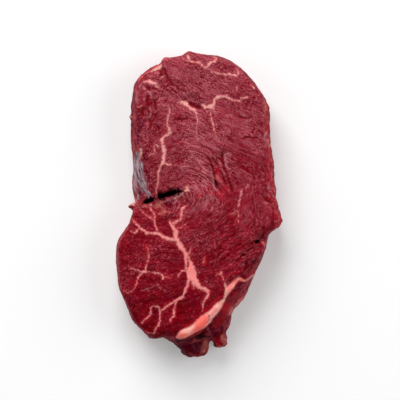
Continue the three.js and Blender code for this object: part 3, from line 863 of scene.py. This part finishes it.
def pinch_fold(points, pinch):
    """Draws the fold's lips together raggedly, and all but shuts it at the bridge and at its ends."""
    rows = bare_line(FOLD_LINE, 40)
    line = rows[:, :2]
    near = np.flatnonzero(path_gap(points[:, :2], rows, FOLD_REACH_MM) < FOLD_REACH_MM)
    spots = points[near, :2]
    nearest = line[((spots[:, None] - line[None]) ** 2).sum(2).argmin(1)]
    offset = spots - nearest
    side = np.sign(offset[:, 1])
    share = pinch + 0.9 * lumps(np.column_stack([nearest, 8 * side]), 1.6)
    for x, y, shut, apart in FOLD_SHUT.values():
        away = np.linalg.norm(nearest - on_steak([(x, y)])[0], axis=1)
        share += (FOLD_SHUT_SHARE - share) * (1 - ease(away, shut, apart))
    share = share * (1 - ease(np.linalg.norm(offset, axis=1), FOLD_FULL_MM, FOLD_REACH_MM))
    points[near, :2] = nearest + offset * (1 - share)[:, None]


def tear_depths(plan):
    """How deep the tears are at plan points, and the distance to the edge of the nearest one."""
    torn = np.zeros(len(plan))
    gap = np.full(len(plan), GAP_REACH_MM)
    for path, half, depth in TEARS.values():
        away = path_gap(plan, bare_line(path), TEAR_REACH_MM)
        torn += depth * np.exp(-(away / half) ** 2)
        gap = np.minimum(gap, away - half)
    return torn, gap


def fold_shade(plan, height):
    """1 deep inside the open parts of the fold, 0 outside it: where it is painted near-black as shade."""
    away = path_gap(plan, bare_line(FOLD_LINE), FOLD_REACH_MM)
    dark_from = on_steak([(FOLD_DARK_FROM, 0)])[0, 0]
    bridge_away = np.linalg.norm(plan - on_steak([FOLD_SHUT["bridge"][:2]])[0], axis=1)
    painted_fold_shade = (1 - ease(away, 0.9, 1.7)) * ease(FOLD_RIM_MM - height, 1.2, 4.0)
    return painted_fold_shade * (ease(plan[:, 0], dark_from, dark_from + 1.5) * ease(bridge_away, 0.8, 1.8))


def work_skin(mesh, shape):
    """Moves the skin's vertices into grain, fat, tears and lumps, and stores what the material needs."""
    chooser = np.random.default_rng(shape.seed)
    points = read_vectors(mesh.vertices, "co") / MM
    pinch_fold(points, shape.fold_pinch)
    place_vertices(mesh, points)
    normals = read_vectors(mesh.vertex_normals, "vector")
    plan = points[:, :2]
    height = points[:, 2]
    up = ease(normals[:, 2], *FACING_UP)
    level = ease(np.abs(normals[:, 2]), *FACING_UP_OR_DOWN)
    lifted = ease(height, *OFF_FLOOR)
    along, across = GrainMap().at(plan)
    pale_sheen, dark, coarse, strand, bite, even = meat_zones(plan)

    gaps = {name: ribbon_gap(plan, chooser, *ribbons) for name, ribbons in RIBBONS.items()}
    gaps["rim_gap"] += GAP_REACH_MM * ease(plan[:, 1], *FAR_WALL) * (1 - ease(height, *FAR_WALL_FAT))
    gaps["hollow_gap"] += 4 * (1 - ease(height, *HOLLOWS_FROM))
    torn, gaps["tear_gap"] = tear_depths(plan)
    skin_along, skin_across = beside_path(plan, flowing(on_steak(SILVERSKIN["band"])))
    strip_across = beside_path(plan, flowing(on_steak(FAT_STRIP["strip"])))[1]
    fat = gaps["fat_gap"]
    strip = gaps["strip_gap"]

    in_strip = np.clip(-strip / STRIP_BEAD_MM, 0, 1)
    bead = np.sqrt(1 - (1 - in_strip) ** 2)
    on_fat = 1 - ease(np.minimum(fat, strip), -0.4, 0.3)
    warp = lumps(points, WARP_SIZE)
    flow = np.stack([along + 2.0 * warp, across + (0.6 + 2.4 * coarse) * warp, height], 1)
    bundles = (1 - 0.5 * coarse) * lumps(flow, BUNDLE_SIZE) + (0.2 + 2.2 * coarse) * domes(flow, SCALE_SIZE)
    fibres = lumps(flow, FIBRE_SIZE)
    rise = (1 - 0.75 * on_fat) * up * (shape.grain_height * bundles + shape.fibre_height * fibres) / MM
    veins = shape.vein_height / MM * (1 - ease(fat, -0.7, 0.2))
    rise += up * (veins + shape.strip_height / MM * bead - torn)
    tilt = shape.strip_tilt * np.clip(strip_across, -STRIP_SIDE_MM, STRIP_SIDE_MM)
    rise += up * tilt * (1 - ease(strip, -0.9, 0.3))
    side = (1 - level) * lifted
    wall_height = shape.wall_height / MM
    rise += side * wall_height * (lumps(points, WALL_SIZE) + 0.5 * lumps(points, WALL_RIB_SIZE))
    on_knobs = (1 - ease(gaps["knobbly_gap"], -0.5, 0.5)) * lifted
    rise += on_knobs * 1.2 * wall_height * domes(points, WALL_KNOB_SIZE)
    ragged = (1 - ease(plan[:, 1], *TORN_END)) * (1 - ease(height, *TORN_BELOW)) * lifted
    rise += ragged * shape.ragged_height / MM * (lumps(points, RAG_SIZE) + 0.6 * lumps(points, FINE_RAG_SIZE))
    moved = points + normals * rise[:, None]
    moved[:, 2] = np.maximum(moved[:, 2], 0)
    place_vertices(mesh, moved)

    high_near = ease(-plan[:, 1], *NEAR_WALL) * ease(height, *HIGH_ON_NEAR_WALL)
    looks = {
        "grain_along": along, "grain_across": across, "pale_sheen": pale_sheen, "dark": dark, "coarse": coarse,
        "strand": strand, "bite": bite, "even": even, "level": level, "painted_fold_shade": fold_shade(plan, height),
        "skin_along": skin_along, "skin_across": skin_across,
        "high": np.maximum(ease(height, *HIGH_ON_WALL), high_near),
    }
    for name, values in (gaps | looks).items():
        store(mesh, name, values)
    mesh.shade_smooth()


class Value:
    """A number that changes over a surface. Arithmetic on it adds Math nodes."""

    def __init__(self, recipe, socket):
        self.recipe = recipe
        self.socket = socket

    def _math(self, operation, first, second):
        return self.recipe.node("ShaderNodeMath", {"operation": operation}, {0: first, 1: second})

    def __add__(self, other):
        return self._math("ADD", self, other)

    __radd__ = __add__

    def __sub__(self, other):
        return self._math("SUBTRACT", self, other)

    def __rsub__(self, other):
        return self._math("SUBTRACT", other, self)

    def __mul__(self, other):
        return self._math("MULTIPLY", self, other)

    __rmul__ = __mul__


class Recipe:
    """A material's nodes, written as expressions."""

    def __init__(self, name):
        self.material = bpy.data.materials.new(name)
        self.material.use_nodes = True
        self.tree = self.material.node_tree
        self.tree.nodes.clear()

    def node(self, kind, settings=None, inputs=None, output=0):
        """Adds a node with its settings and inputs, and gives back one of its outputs, or several."""
        made = self.tree.nodes.new(kind)
        for name, value in (settings or {}).items():
            setattr(made, name, value)
        for key, value in (inputs or {}).items():
            if isinstance(value, Value):
                self.tree.links.new(value.socket, made.inputs[key])
            else:
                made.inputs[key].default_value = value
        if isinstance(output, tuple):
            return tuple(Value(self, made.outputs[name]) for name in output)
        return Value(self, made.outputs[output]) if made.outputs else None

    def attribute(self, name):
        return self.node("ShaderNodeAttribute", {"attribute_name": name}, output="Fac")

    def vector(self, x, y, z):
        return self.node("ShaderNodeCombineXYZ", inputs={0: x, 1: y, 2: z})

    def noise(self, vector, scale=1.0, detail=2.0, roughness=0.5):
        """Smooth noise about 0."""
        return self.node("ShaderNodeTexNoise", inputs={
            "Vector": vector, "Scale": scale, "Detail": detail, "Roughness": roughness}) - 0.5

    def cells(self, vector):
        """A random number for each cell of a mosaic, and the distance to the nearest edge."""
        colour = self.node("ShaderNodeTexVoronoi", inputs={"Vector": vector, "Scale": 1.0}, output="Color")
        edge = self.node(
            "ShaderNodeTexVoronoi", {"feature": "DISTANCE_TO_EDGE"}, {"Vector": vector, "Scale": 1.0})
        return self.node("ShaderNodeSeparateColor", inputs={0: colour}) - 0.5, edge

    def ease(self, value, low, high, start=0.0, end=1.0):
        """start at low, end at high, and smooth between them."""
        return self.node("ShaderNodeMapRange", {"interpolation_type": "SMOOTHSTEP"}, {
            "Value": value, "From Min": low, "From Max": high, "To Min": start, "To Max": end})

    def larger(self, first, second):
        return self.node("ShaderNodeMath", {"operation": "MAXIMUM"}, {0: first, 1: second})

    def mix(self, share, first, second):
        """The first colour at share 0, the second at 1."""
        def full(colour):
            return colour if isinstance(colour, Value) else (*colour, 1.0)
        return self.node("ShaderNodeMix", {"data_type": "RGBA"}, {
            "Factor": share, 6: full(first), 7: full(second)}, output=2)


class MeatPatterns:
    """The stored numbers and the noises that all parts of the meat's finish share."""

    def __init__(self, recipe):
        self.recipe = recipe
        place = recipe.node("ShaderNodeTexCoord", output="Object")
        far, up = recipe.node("ShaderNodeSeparateXYZ", inputs={0: place}, output=(1, 2))
        height = up * (PATTERN_PER_MM / MM)
        self.height = height
        self.near_half = recipe.ease(far, *NEAR_HALF)
        self.level = recipe.attribute("level")
        self.ragged_wall = 6.0 * recipe.noise(place, 130.0, 4.0, 0.65) * (1 - self.level)
        self.off_floor = recipe.larger(recipe.ease(height, 0.6, 2.0), self.level)
        self.pale_sheen = recipe.attribute("pale_sheen")
        self.coarse = recipe.attribute("coarse")
        even = recipe.attribute("even")
        uneven_bite = recipe.ease(recipe.noise(place, 60.0, 3.0), -0.16, 0.16, 0.4, 1.5)
        self.bite = recipe.attribute("bite") * uneven_bite

        along = recipe.attribute("grain_along")
        across = recipe.attribute("grain_across")
        bend = recipe.vector(0.3 * along, 0.3 * across, height)
        along = along + 2.0 * recipe.noise(bend, 1.0, 2.0)
        across = across + (1.6 + 2.4 * self.coarse) * recipe.noise(bend, 1.4, 2.0)

        def grained(lengthways, crossways, upwards=height):
            """Coordinates that draw a pattern out along the grain."""
            return recipe.vector(along * lengthways, across * crossways, upwards)

        def lines_in(pattern, width):
            """1 along the lines where a noise is 0, fading over the width."""
            return recipe.ease(recipe.larger(pattern, 0 - pattern), width, 0.0)

        self.small, self.small_edge = recipe.cells(grained(0.42, 1.15))
        self.large, self.large_edge = recipe.cells(grained(0.28, 0.46))
        self.stroke = recipe.noise(grained(0.4, 1.3), 1.0, 3.0, 0.6)
        self.fleck = recipe.noise(grained(1.2, 2.4), 1.0, 3.0, 0.65)
        self.patch = recipe.noise(grained(0.15, 0.3), 1.0, 2.0)
        strands = recipe.attribute("strand")
        self.strand = recipe.noise(grained(0.13, 1.2), 1.0, 3.0) * strands
        self.wisp = lines_in(recipe.noise(grained(0.11, 0.9), 1.0, 2.0), 0.05) * strands
        # Lines where the lean is wrinkled, for the painted shade of its furrows.
        wrinkle_shade = lines_in(recipe.noise(grained(0.13, 0.45, height + 9), 1.0, 2.0), 0.03)
        self.wrinkle_shade = wrinkle_shade * recipe.ease(strands, 1.5, 0.6, 0.3, 1.0)
        self.speck = recipe.noise(place, 600.0, 3.0, 0.6)
        self.grain = recipe.noise(place, 1400.0, 3.0, 0.65)
        self.knots = recipe.noise(place, 300.0, 3.0)
        self.mottled = recipe.noise(place, 190.0, 3.0, 0.6)
        self.broad = recipe.noise(place, 70.0, 3.0)
        self.edge = recipe.noise(place, 700.0, 3.0, 0.6)
        self.drawn = (1.7 * self.fleck + 0.6 * self.stroke) * (1 - even) + 2.2 * self.speck * even

    def inside(self, name, ragged_edge, outer, inner):
        """1 inside a named stored shape, 0 outside it. Its edge is broken, and more so on the walls."""
        gap = self.recipe.attribute(name) + ragged_edge + self.ragged_wall
        return self.recipe.ease(gap, outer, inner)


def lean_meat(look, colours):
    """Red lean of the cut face: dark and light bundles, pale haze that is partly a painted sheen, painted
    shade in cracks and wrinkles, fine threads, and painted glints.
    """
    recipe = look.recipe
    grain = look.grain
    tone = 0.55 - recipe.attribute("dark") + 0.15 * look.small + 0.4 * look.large * look.coarse
    tone = tone + look.bite * (0.7 * look.drawn + 1.3 * grain)
    tone = tone + 0.8 * look.broad + 0.7 * look.mottled + 1.1 * look.strand
    lean = recipe.mix(recipe.ease(tone, 0.0, 0.9), colours.deep, colours.lean)
    lean = recipe.mix(0.55 * recipe.ease(look.mottled + 0.5 * grain, 0.0, 0.16), lean, colours.purple_and_shade)
    fresh = 0.4 * look.near_half * recipe.ease(look.knots + 0.5 * grain, 0.0, 0.22)
    lean = recipe.mix(fresh, lean, colours.blood)
    pale = look.bite * (look.drawn + 2.1 * grain) * (1 - 0.35 * look.near_half) + 0.15 * look.small
    pale = pale + 0.5 * look.patch + 0.4 * look.knots + 0.7 * look.broad + 2.4 * look.strand
    # Pale haze: the bundles' paler pink, and a painted sheen that is strongest in the far half.
    lean = recipe.mix(0.85 * recipe.ease(pale + 0.9 * look.pale_sheen, -0.05, 0.95), lean, colours.pale_sheen)
    # Painted shade: the cracks between the coarse scales darkened towards deep red.
    crack_shade = recipe.ease(look.large_edge, 0.14, 0.02) * recipe.ease(look.patch + 0.8 * look.fleck, -0.12, 0.12)
    lean = recipe.mix(crack_shade * (0.1 + 0.5 * look.coarse), lean, colours.deep)
    thread_and_glint = recipe.ease(look.small_edge, 0.12, 0.02) * recipe.ease(look.stroke - look.patch, 0.02, 0.3)
    lean = recipe.mix(thread_and_glint * (0.15 + 1.1 * look.pale_sheen), lean, colours.thread_and_glint)
    # Painted glints: sparse pale specks where light catches the moist fibres.
    lean = recipe.mix(0.5 * recipe.ease(grain + look.speck, 0.22, 0.42), lean, colours.thread_and_glint)
    wisp = 0.45 * look.wisp * recipe.ease(look.patch + look.stroke, -0.1, 0.2)
    lean = recipe.mix(wisp, lean, colours.thread_and_glint)
    # Painted shade: dark lines along the grain in the furrows of wrinkles.
    wrinkle_shade = 0.35 * look.wrinkle_shade * recipe.ease(look.broad + 0.5 * look.stroke, 0.0, 0.15)
    return recipe.mix(wrinkle_shade, lean, colours.deep)


def flesh_over(look, colours, base):
    """Dark flesh with painted shade, dusky skin with painted sheen, the knobbly red wall, fresh red spots,
    tears in painted shade, and the red rim with a painted highlight, over the meat.
    """
    recipe = look.recipe
    edge = look.edge
    grain = look.grain
    high = recipe.attribute("high")
    # Dark purple flesh, with painted shade in recesses, hollows and on the tongue under the strip.
    flesh = look.inside("flesh_shade_gap", 2.4 * edge, 1.0, -1.0)
    flesh = flesh * recipe.ease(look.knots + 0.9 * grain + 0.7 * look.speck, 0.22, -0.16, 0.15, 0.92)
    base = recipe.mix(flesh, base, colours.purple_and_shade)
    # Dusky skin, and painted sheen on the tongue and the far edge.
    dusky_and_sheen = look.inside("dusky_sheen_gap", 1.6 * edge, 1.0, -1.2) * recipe.ease(grain, -0.3, 0.1, 0.6, 1.0)
    base = recipe.mix(dusky_and_sheen * high * 0.8, base, colours.dusky_and_sheen)
    knobbly = look.inside("knobbly_gap", 2.0 * edge + 3.0 * look.broad, 1.2, -1.0)
    upper_wall = recipe.ease(look.height + 3.0 * look.broad, 0.6, 2.4, 0.35, 1.0)
    knobbly = knobbly * recipe.larger(upper_wall, look.level)
    spotted = look.knots + 0.7 * look.speck
    base = recipe.mix(0.4 * knobbly * recipe.ease(spotted, -0.05, 0.25), base, colours.knob)
    base = recipe.mix(0.7 * knobbly * recipe.ease(spotted, 0.08, -0.15), base, colours.blood)
    knob = look.inside("knob_gap", 2.2 * edge, 0.6, -0.8) * recipe.ease(spotted, -0.22, 0.1, 0.25, 0.85)
    base = recipe.mix(look.off_floor * knob, base, colours.knob)
    blood = look.inside("blood_gap", 2.0 * edge + 2.4 * look.stroke + 2.0 * look.strand, 0.8, -0.8)
    blood = blood * recipe.ease(look.mottled + 0.8 * grain, 0.12, -0.12, 0.15, 0.75)
    base = recipe.mix(blood, base, colours.blood)
    # Painted shade in the bottom of the tears.
    torn = look.inside("tear_gap", 1.4 * edge, 0.4, -0.3) * look.level
    base = recipe.mix(0.85 * torn, base, colours.tear_shade)
    # Red-orange rim flesh, and the crease's painted highlight.
    red_rim_and_highlight = look.inside("red_rim_highlight_gap", 2.4 * edge + 1.6 * look.stroke, 0.6, -0.8) * high * 0.65
    return recipe.mix(red_rim_and_highlight, base, colours.red_rim_and_highlight)


def tissue_over(look, colours, base):
    """Dull tissue, silverskin and the dry fat of the rim, over the meat."""
    recipe = look.recipe
    edge = look.edge
    grain = look.grain
    lip = look.inside("lip_gap", 2.8 * edge + 2.0 * look.stroke, 0.8, -1.1)
    lip = lip * recipe.ease(grain + 0.9 * look.knots, -0.2, 0.2, 0.2, 0.95)
    base = recipe.mix(lip * look.off_floor, base, colours.lip)
    skin_along = 0.13 * recipe.attribute("skin_along")
    skin_across = 1.4 * recipe.attribute("skin_across")
    fibres = recipe.noise(recipe.vector(skin_along, skin_across, look.height), 1.0, 3.0, 0.6)
    membrane = recipe.mix(recipe.ease(fibres + 0.3 * grain, -0.16, 0.14), colours.plum, colours.skin)
    skin = look.inside("skin_gap", 2.0 * edge + 2.0 * fibres, 0.6, -0.8)
    base = recipe.mix(look.off_floor * skin, base, membrane)
    rim = look.inside("rim_gap", 2.4 * edge, 0.4, -0.6) * recipe.ease(grain, -0.3, 0.1, 0.5, 0.9)
    tall = recipe.larger(recipe.ease(look.height, 1.1, 2.2), look.level)
    return recipe.mix(rim * tall * (0.72 + 0.28 * look.level), base, colours.rim)


def veins_over(look, colours, base, heart):
    """Fat veins with a red glow and a veil round them, over the meat: the colour, and the veins' share."""
    recipe = look.recipe
    knots = look.knots
    gap = recipe.attribute("fat_gap") + 1.4 * look.edge + 0.5 * look.grain
    glow = recipe.ease(gap + 3.0 * knots, 2.0, -0.2) * recipe.ease(look.broad, -0.06, 0.1)
    base = recipe.mix(0.45 * (glow * look.near_half * look.level), base, colours.blood)
    veiled = recipe.ease(gap + 4.0 * knots + 1.6 * look.grain, 0.6, -0.6) * look.level
    base = recipe.mix(0.28 * veiled, base, colours.fat_edge)
    faded = recipe.ease(knots + 0.4 * look.stroke, -0.16, 0.06, 0.7, 1.0)
    faded = recipe.larger(faded, recipe.ease(gap, -0.4, -0.9))
    fat = recipe.ease(gap, 0.3, -0.46) * look.level * faded
    pale = recipe.mix(look.near_half, colours.fat, colours.fat_warm)
    pale = recipe.mix(recipe.ease(gap + 1.2 * look.grain + 1.2 * knots, 0.1, -0.8), colours.fat_edge, pale)
    return recipe.mix(fat * 0.95, base, recipe.mix(0.6 * heart, pale, colours.heart)), fat


def strip_over(look, colours, base, heart):
    """The thick strip of fat, over the meat: the colour, and the strip's share."""
    recipe = look.recipe
    strip = recipe.ease(recipe.attribute("strip_gap") + 0.8 * look.edge, 0.55, -0.85)
    pale = recipe.ease(look.knots + 0.5 * look.broad, -0.2, 0.1)
    fat = recipe.mix(pale, colours.strip_low, colours.strip)
    fat = recipe.mix(heart, fat, colours.heart)
    mottle = look.inside("mottle_gap", 1.6 * look.edge, 0.4, -0.5)
    fat = recipe.mix(0.7 * mottle, fat, colours.blood)
    return recipe.mix(strip, base, fat), strip


def meat_material(colours):
    """Moist raw beef: red lean with grain, pale veins, a warm strip of fat, silverskin and a fold painted
    dark as its shade.
    """
    recipe = Recipe("raw_beef")
    look = MeatPatterns(recipe)
    level = look.level
    edge = look.edge
    grain = look.grain
    wall = recipe.mix(recipe.ease(look.knots + 1.6 * grain, -0.3, 0.35), colours.deep, colours.wall)
    base = recipe.mix(level, wall, lean_meat(look, colours))
    base = flesh_over(look, colours, base)
    base = tissue_over(look, colours, base)
    heart = look.inside("heart_gap", 2.0 * edge, 1.1, -1.5)
    base, fat = veins_over(look, colours, base, heart)
    base, strip = strip_over(look, colours, base, heart)
    # Lilac strands of tissue, and painted glints of light on the moist surface.
    lilac = look.inside("lilac_gap", 2.6 * edge + 1.6 * look.stroke, 0.5, -0.7)
    base = recipe.mix(lilac * recipe.ease(grain, -0.3, 0.15, 0.3, 0.7), base, colours.lilac)
    # Painted shade: near-black in the fold's slits, in pits and in gaps under the strip and by the torn ends.
    hollow = recipe.ease(recipe.attribute("hollow_gap") + (1.0 + 3.5 * level) * edge, 0.5, -0.4)
    hollow = hollow * (0.85 + 0.15 * level) * (1 - strip) * (1 - fat)
    base = recipe.mix(recipe.larger(recipe.attribute("painted_fold_shade"), 0.95 * hollow), base, colours.shade)

    fatty = recipe.larger(fat, strip)
    relief = look.bite * (look.drawn + 2.2 * grain) * (1 - 0.7 * fatty)
    relief = relief + recipe.ease(look.small_edge, 0.0, 0.3) * 0.3
    relief = relief + recipe.ease(look.large_edge, 0.0, 0.3) * look.coarse * 0.8
    bumped = recipe.node("ShaderNodeBump", inputs={
        "Strength": BUMP_STRENGTH, "Distance": BUMP_DISTANCE, "Height": relief})
    surface = recipe.node("ShaderNodeBsdfPrincipled", inputs={
        "Base Color": base,
        "Roughness": 0.62 - 0.22 * level - 0.06 * fatty + 0.25 * grain,
        "Specular IOR Level": MOIST_GLOSS,
        "Normal": bumped,
    })
    recipe.node("ShaderNodeOutputMaterial", inputs={"Surface": surface})
    return recipe.material


def floor_material(colour, glow):
    """Plain matt white, with some light of its own that keeps shadows pale."""
    recipe = Recipe("pale_floor")
    surface = recipe.node("ShaderNodeBsdfPrincipled", inputs={
        "Base Color": (*colour, 1.0),
        "Roughness": FLOOR_ROUGHNESS,
        "Emission Color": (1, 1, 1, 1),
        "Emission Strength": glow,
    })
    recipe.node("ShaderNodeOutputMaterial", inputs={"Surface": surface})
    return recipe.material


class STEAK_OT_build(bpy.types.Operator):
    """Build the raw steak in place of its plain solid"""

    bl_idname = "steak.build"
    bl_label = "Build Steak"

    def execute(self, context):
        shape = context.scene.steak_shape
        piece = wrapped_copy(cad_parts[STEAK_NODE], shape.voxel)
        refine_cut_face(piece.data)
        work_skin(piece.data, shape)
        piece.data.materials.append(meat_material(context.scene.steak_colours))
        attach(piece, "root")
        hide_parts(STEAK_NODE)
        return {"FINISHED"}


class STEAK_OT_stage(bpy.types.Operator):
    """Set up the camera above the steak, the soft lights and the pale floor"""

    bl_idname = "steak.stage"
    bl_label = "Build Stage"

    def execute(self, context):
        stage = context.scene.steak_stage
        self.make_floor(context, stage)
        self.make_camera(context, stage)
        self.make_lights(context, stage)
        context.scene.view_settings.view_transform = "Standard"
        return {"FINISHED"}

    def make_floor(self, context, stage):
        mesh = bpy.data.meshes.new("floor")
        work = bmesh.new()
        bmesh.ops.create_grid(work, x_segments=1, y_segments=1, size=FLOOR_HALF_SIDE)
        bmesh.ops.translate(work, verts=work.verts, vec=(0, 0, -FLOOR_DROP_MM * MM))
        work.to_mesh(mesh)
        work.free()
        mesh.materials.append(floor_material(stage.floor, stage.floor_glow))
        floor = bpy.data.objects.new("floor", mesh)
        context.scene.collection.objects.link(floor)

    def make_camera(self, context, stage):
        lens = bpy.data.cameras.new("camera")
        lens.lens = stage.lens
        centre = on_steak([(PHOTO_SIDE / 2, PHOTO_SIDE / 2)])[0] * MM
        frame_width = PHOTO_SIDE * MM_PER_PIXEL * MM
        camera = bpy.data.objects.new("camera", lens)
        camera.location = (*centre, stage.focus_height + frame_width * lens.lens / lens.sensor_width)
        context.scene.collection.objects.link(camera)
        context.scene.camera = camera

    def make_lights(self, context, stage):
        """Large soft lights well off the vertical, so that the cut face doesn't mirror them to the camera."""
        powers = {
            "far": stage.far_power, "left": stage.left_power,
            "right": stage.right_power, "near": stage.near_power}
        for name, heading in LIGHT_HEADINGS.items():
            light = bpy.data.lights.new(name, "AREA")
            light.energy = powers[name]
            light.size = stage.light_size
            lamp = bpy.data.objects.new(name, light)
            lamp.location = Vector(heading).normalized() * stage.light_distance
            lamp.rotation_mode = "QUATERNION"
            lamp.rotation_quaternion = (-lamp.location).to_track_quat("-Z", "Y")
            context.scene.collection.objects.link(lamp)
        world = bpy.data.worlds.new("studio")
        world.use_nodes = True
        background = world.node_tree.nodes["Background"]
        background.inputs["Color"].default_value = (1, 1, 1, 1)
        background.inputs["Strength"].default_value = stage.fill
        context.scene.world = world


class STEAK_PT_panel(bpy.types.Panel):
    """Lists the steps that build the steak and its stage"""

    bl_idname = "STEAK_PT_panel"
    bl_label = "Raw Steak"
    bl_space_type = "VIEW_3D"
    bl_region_type = "UI"
    bl_category = "Steak"

    def draw(self, context):
        for settings in (context.scene.steak_shape, context.scene.steak_colours, context.scene.steak_stage):
            box = self.layout.box()
            for name in settings.__annotations__:
                box.prop(settings, name)
        self.layout.operator(STEAK_OT_build.bl_idname)
        self.layout.operator(STEAK_OT_stage.bl_idname)


CLASSES = (SteakShape, SteakColours, StageSettings, STEAK_OT_build, STEAK_OT_stage, STEAK_PT_panel)


def register():
    for cls in CLASSES:
        bpy.utils.register_class(cls)
    bpy.types.Scene.steak_shape = bpy.props.PointerProperty(type=SteakShape)
    bpy.types.Scene.steak_colours = bpy.props.PointerProperty(type=SteakColours)
    bpy.types.Scene.steak_stage = bpy.props.PointerProperty(type=StageSettings)


def unregister():
    del bpy.types.Scene.steak_stage
    del bpy.types.Scene.steak_colours
    del bpy.types.Scene.steak_shape
    for cls in reversed(CLASSES):
        bpy.utils.unregister_class(cls)


def main():
    register()
    bpy.ops.steak.build()
    bpy.ops.steak.stage()


if __name__ == "__main__":
    main()
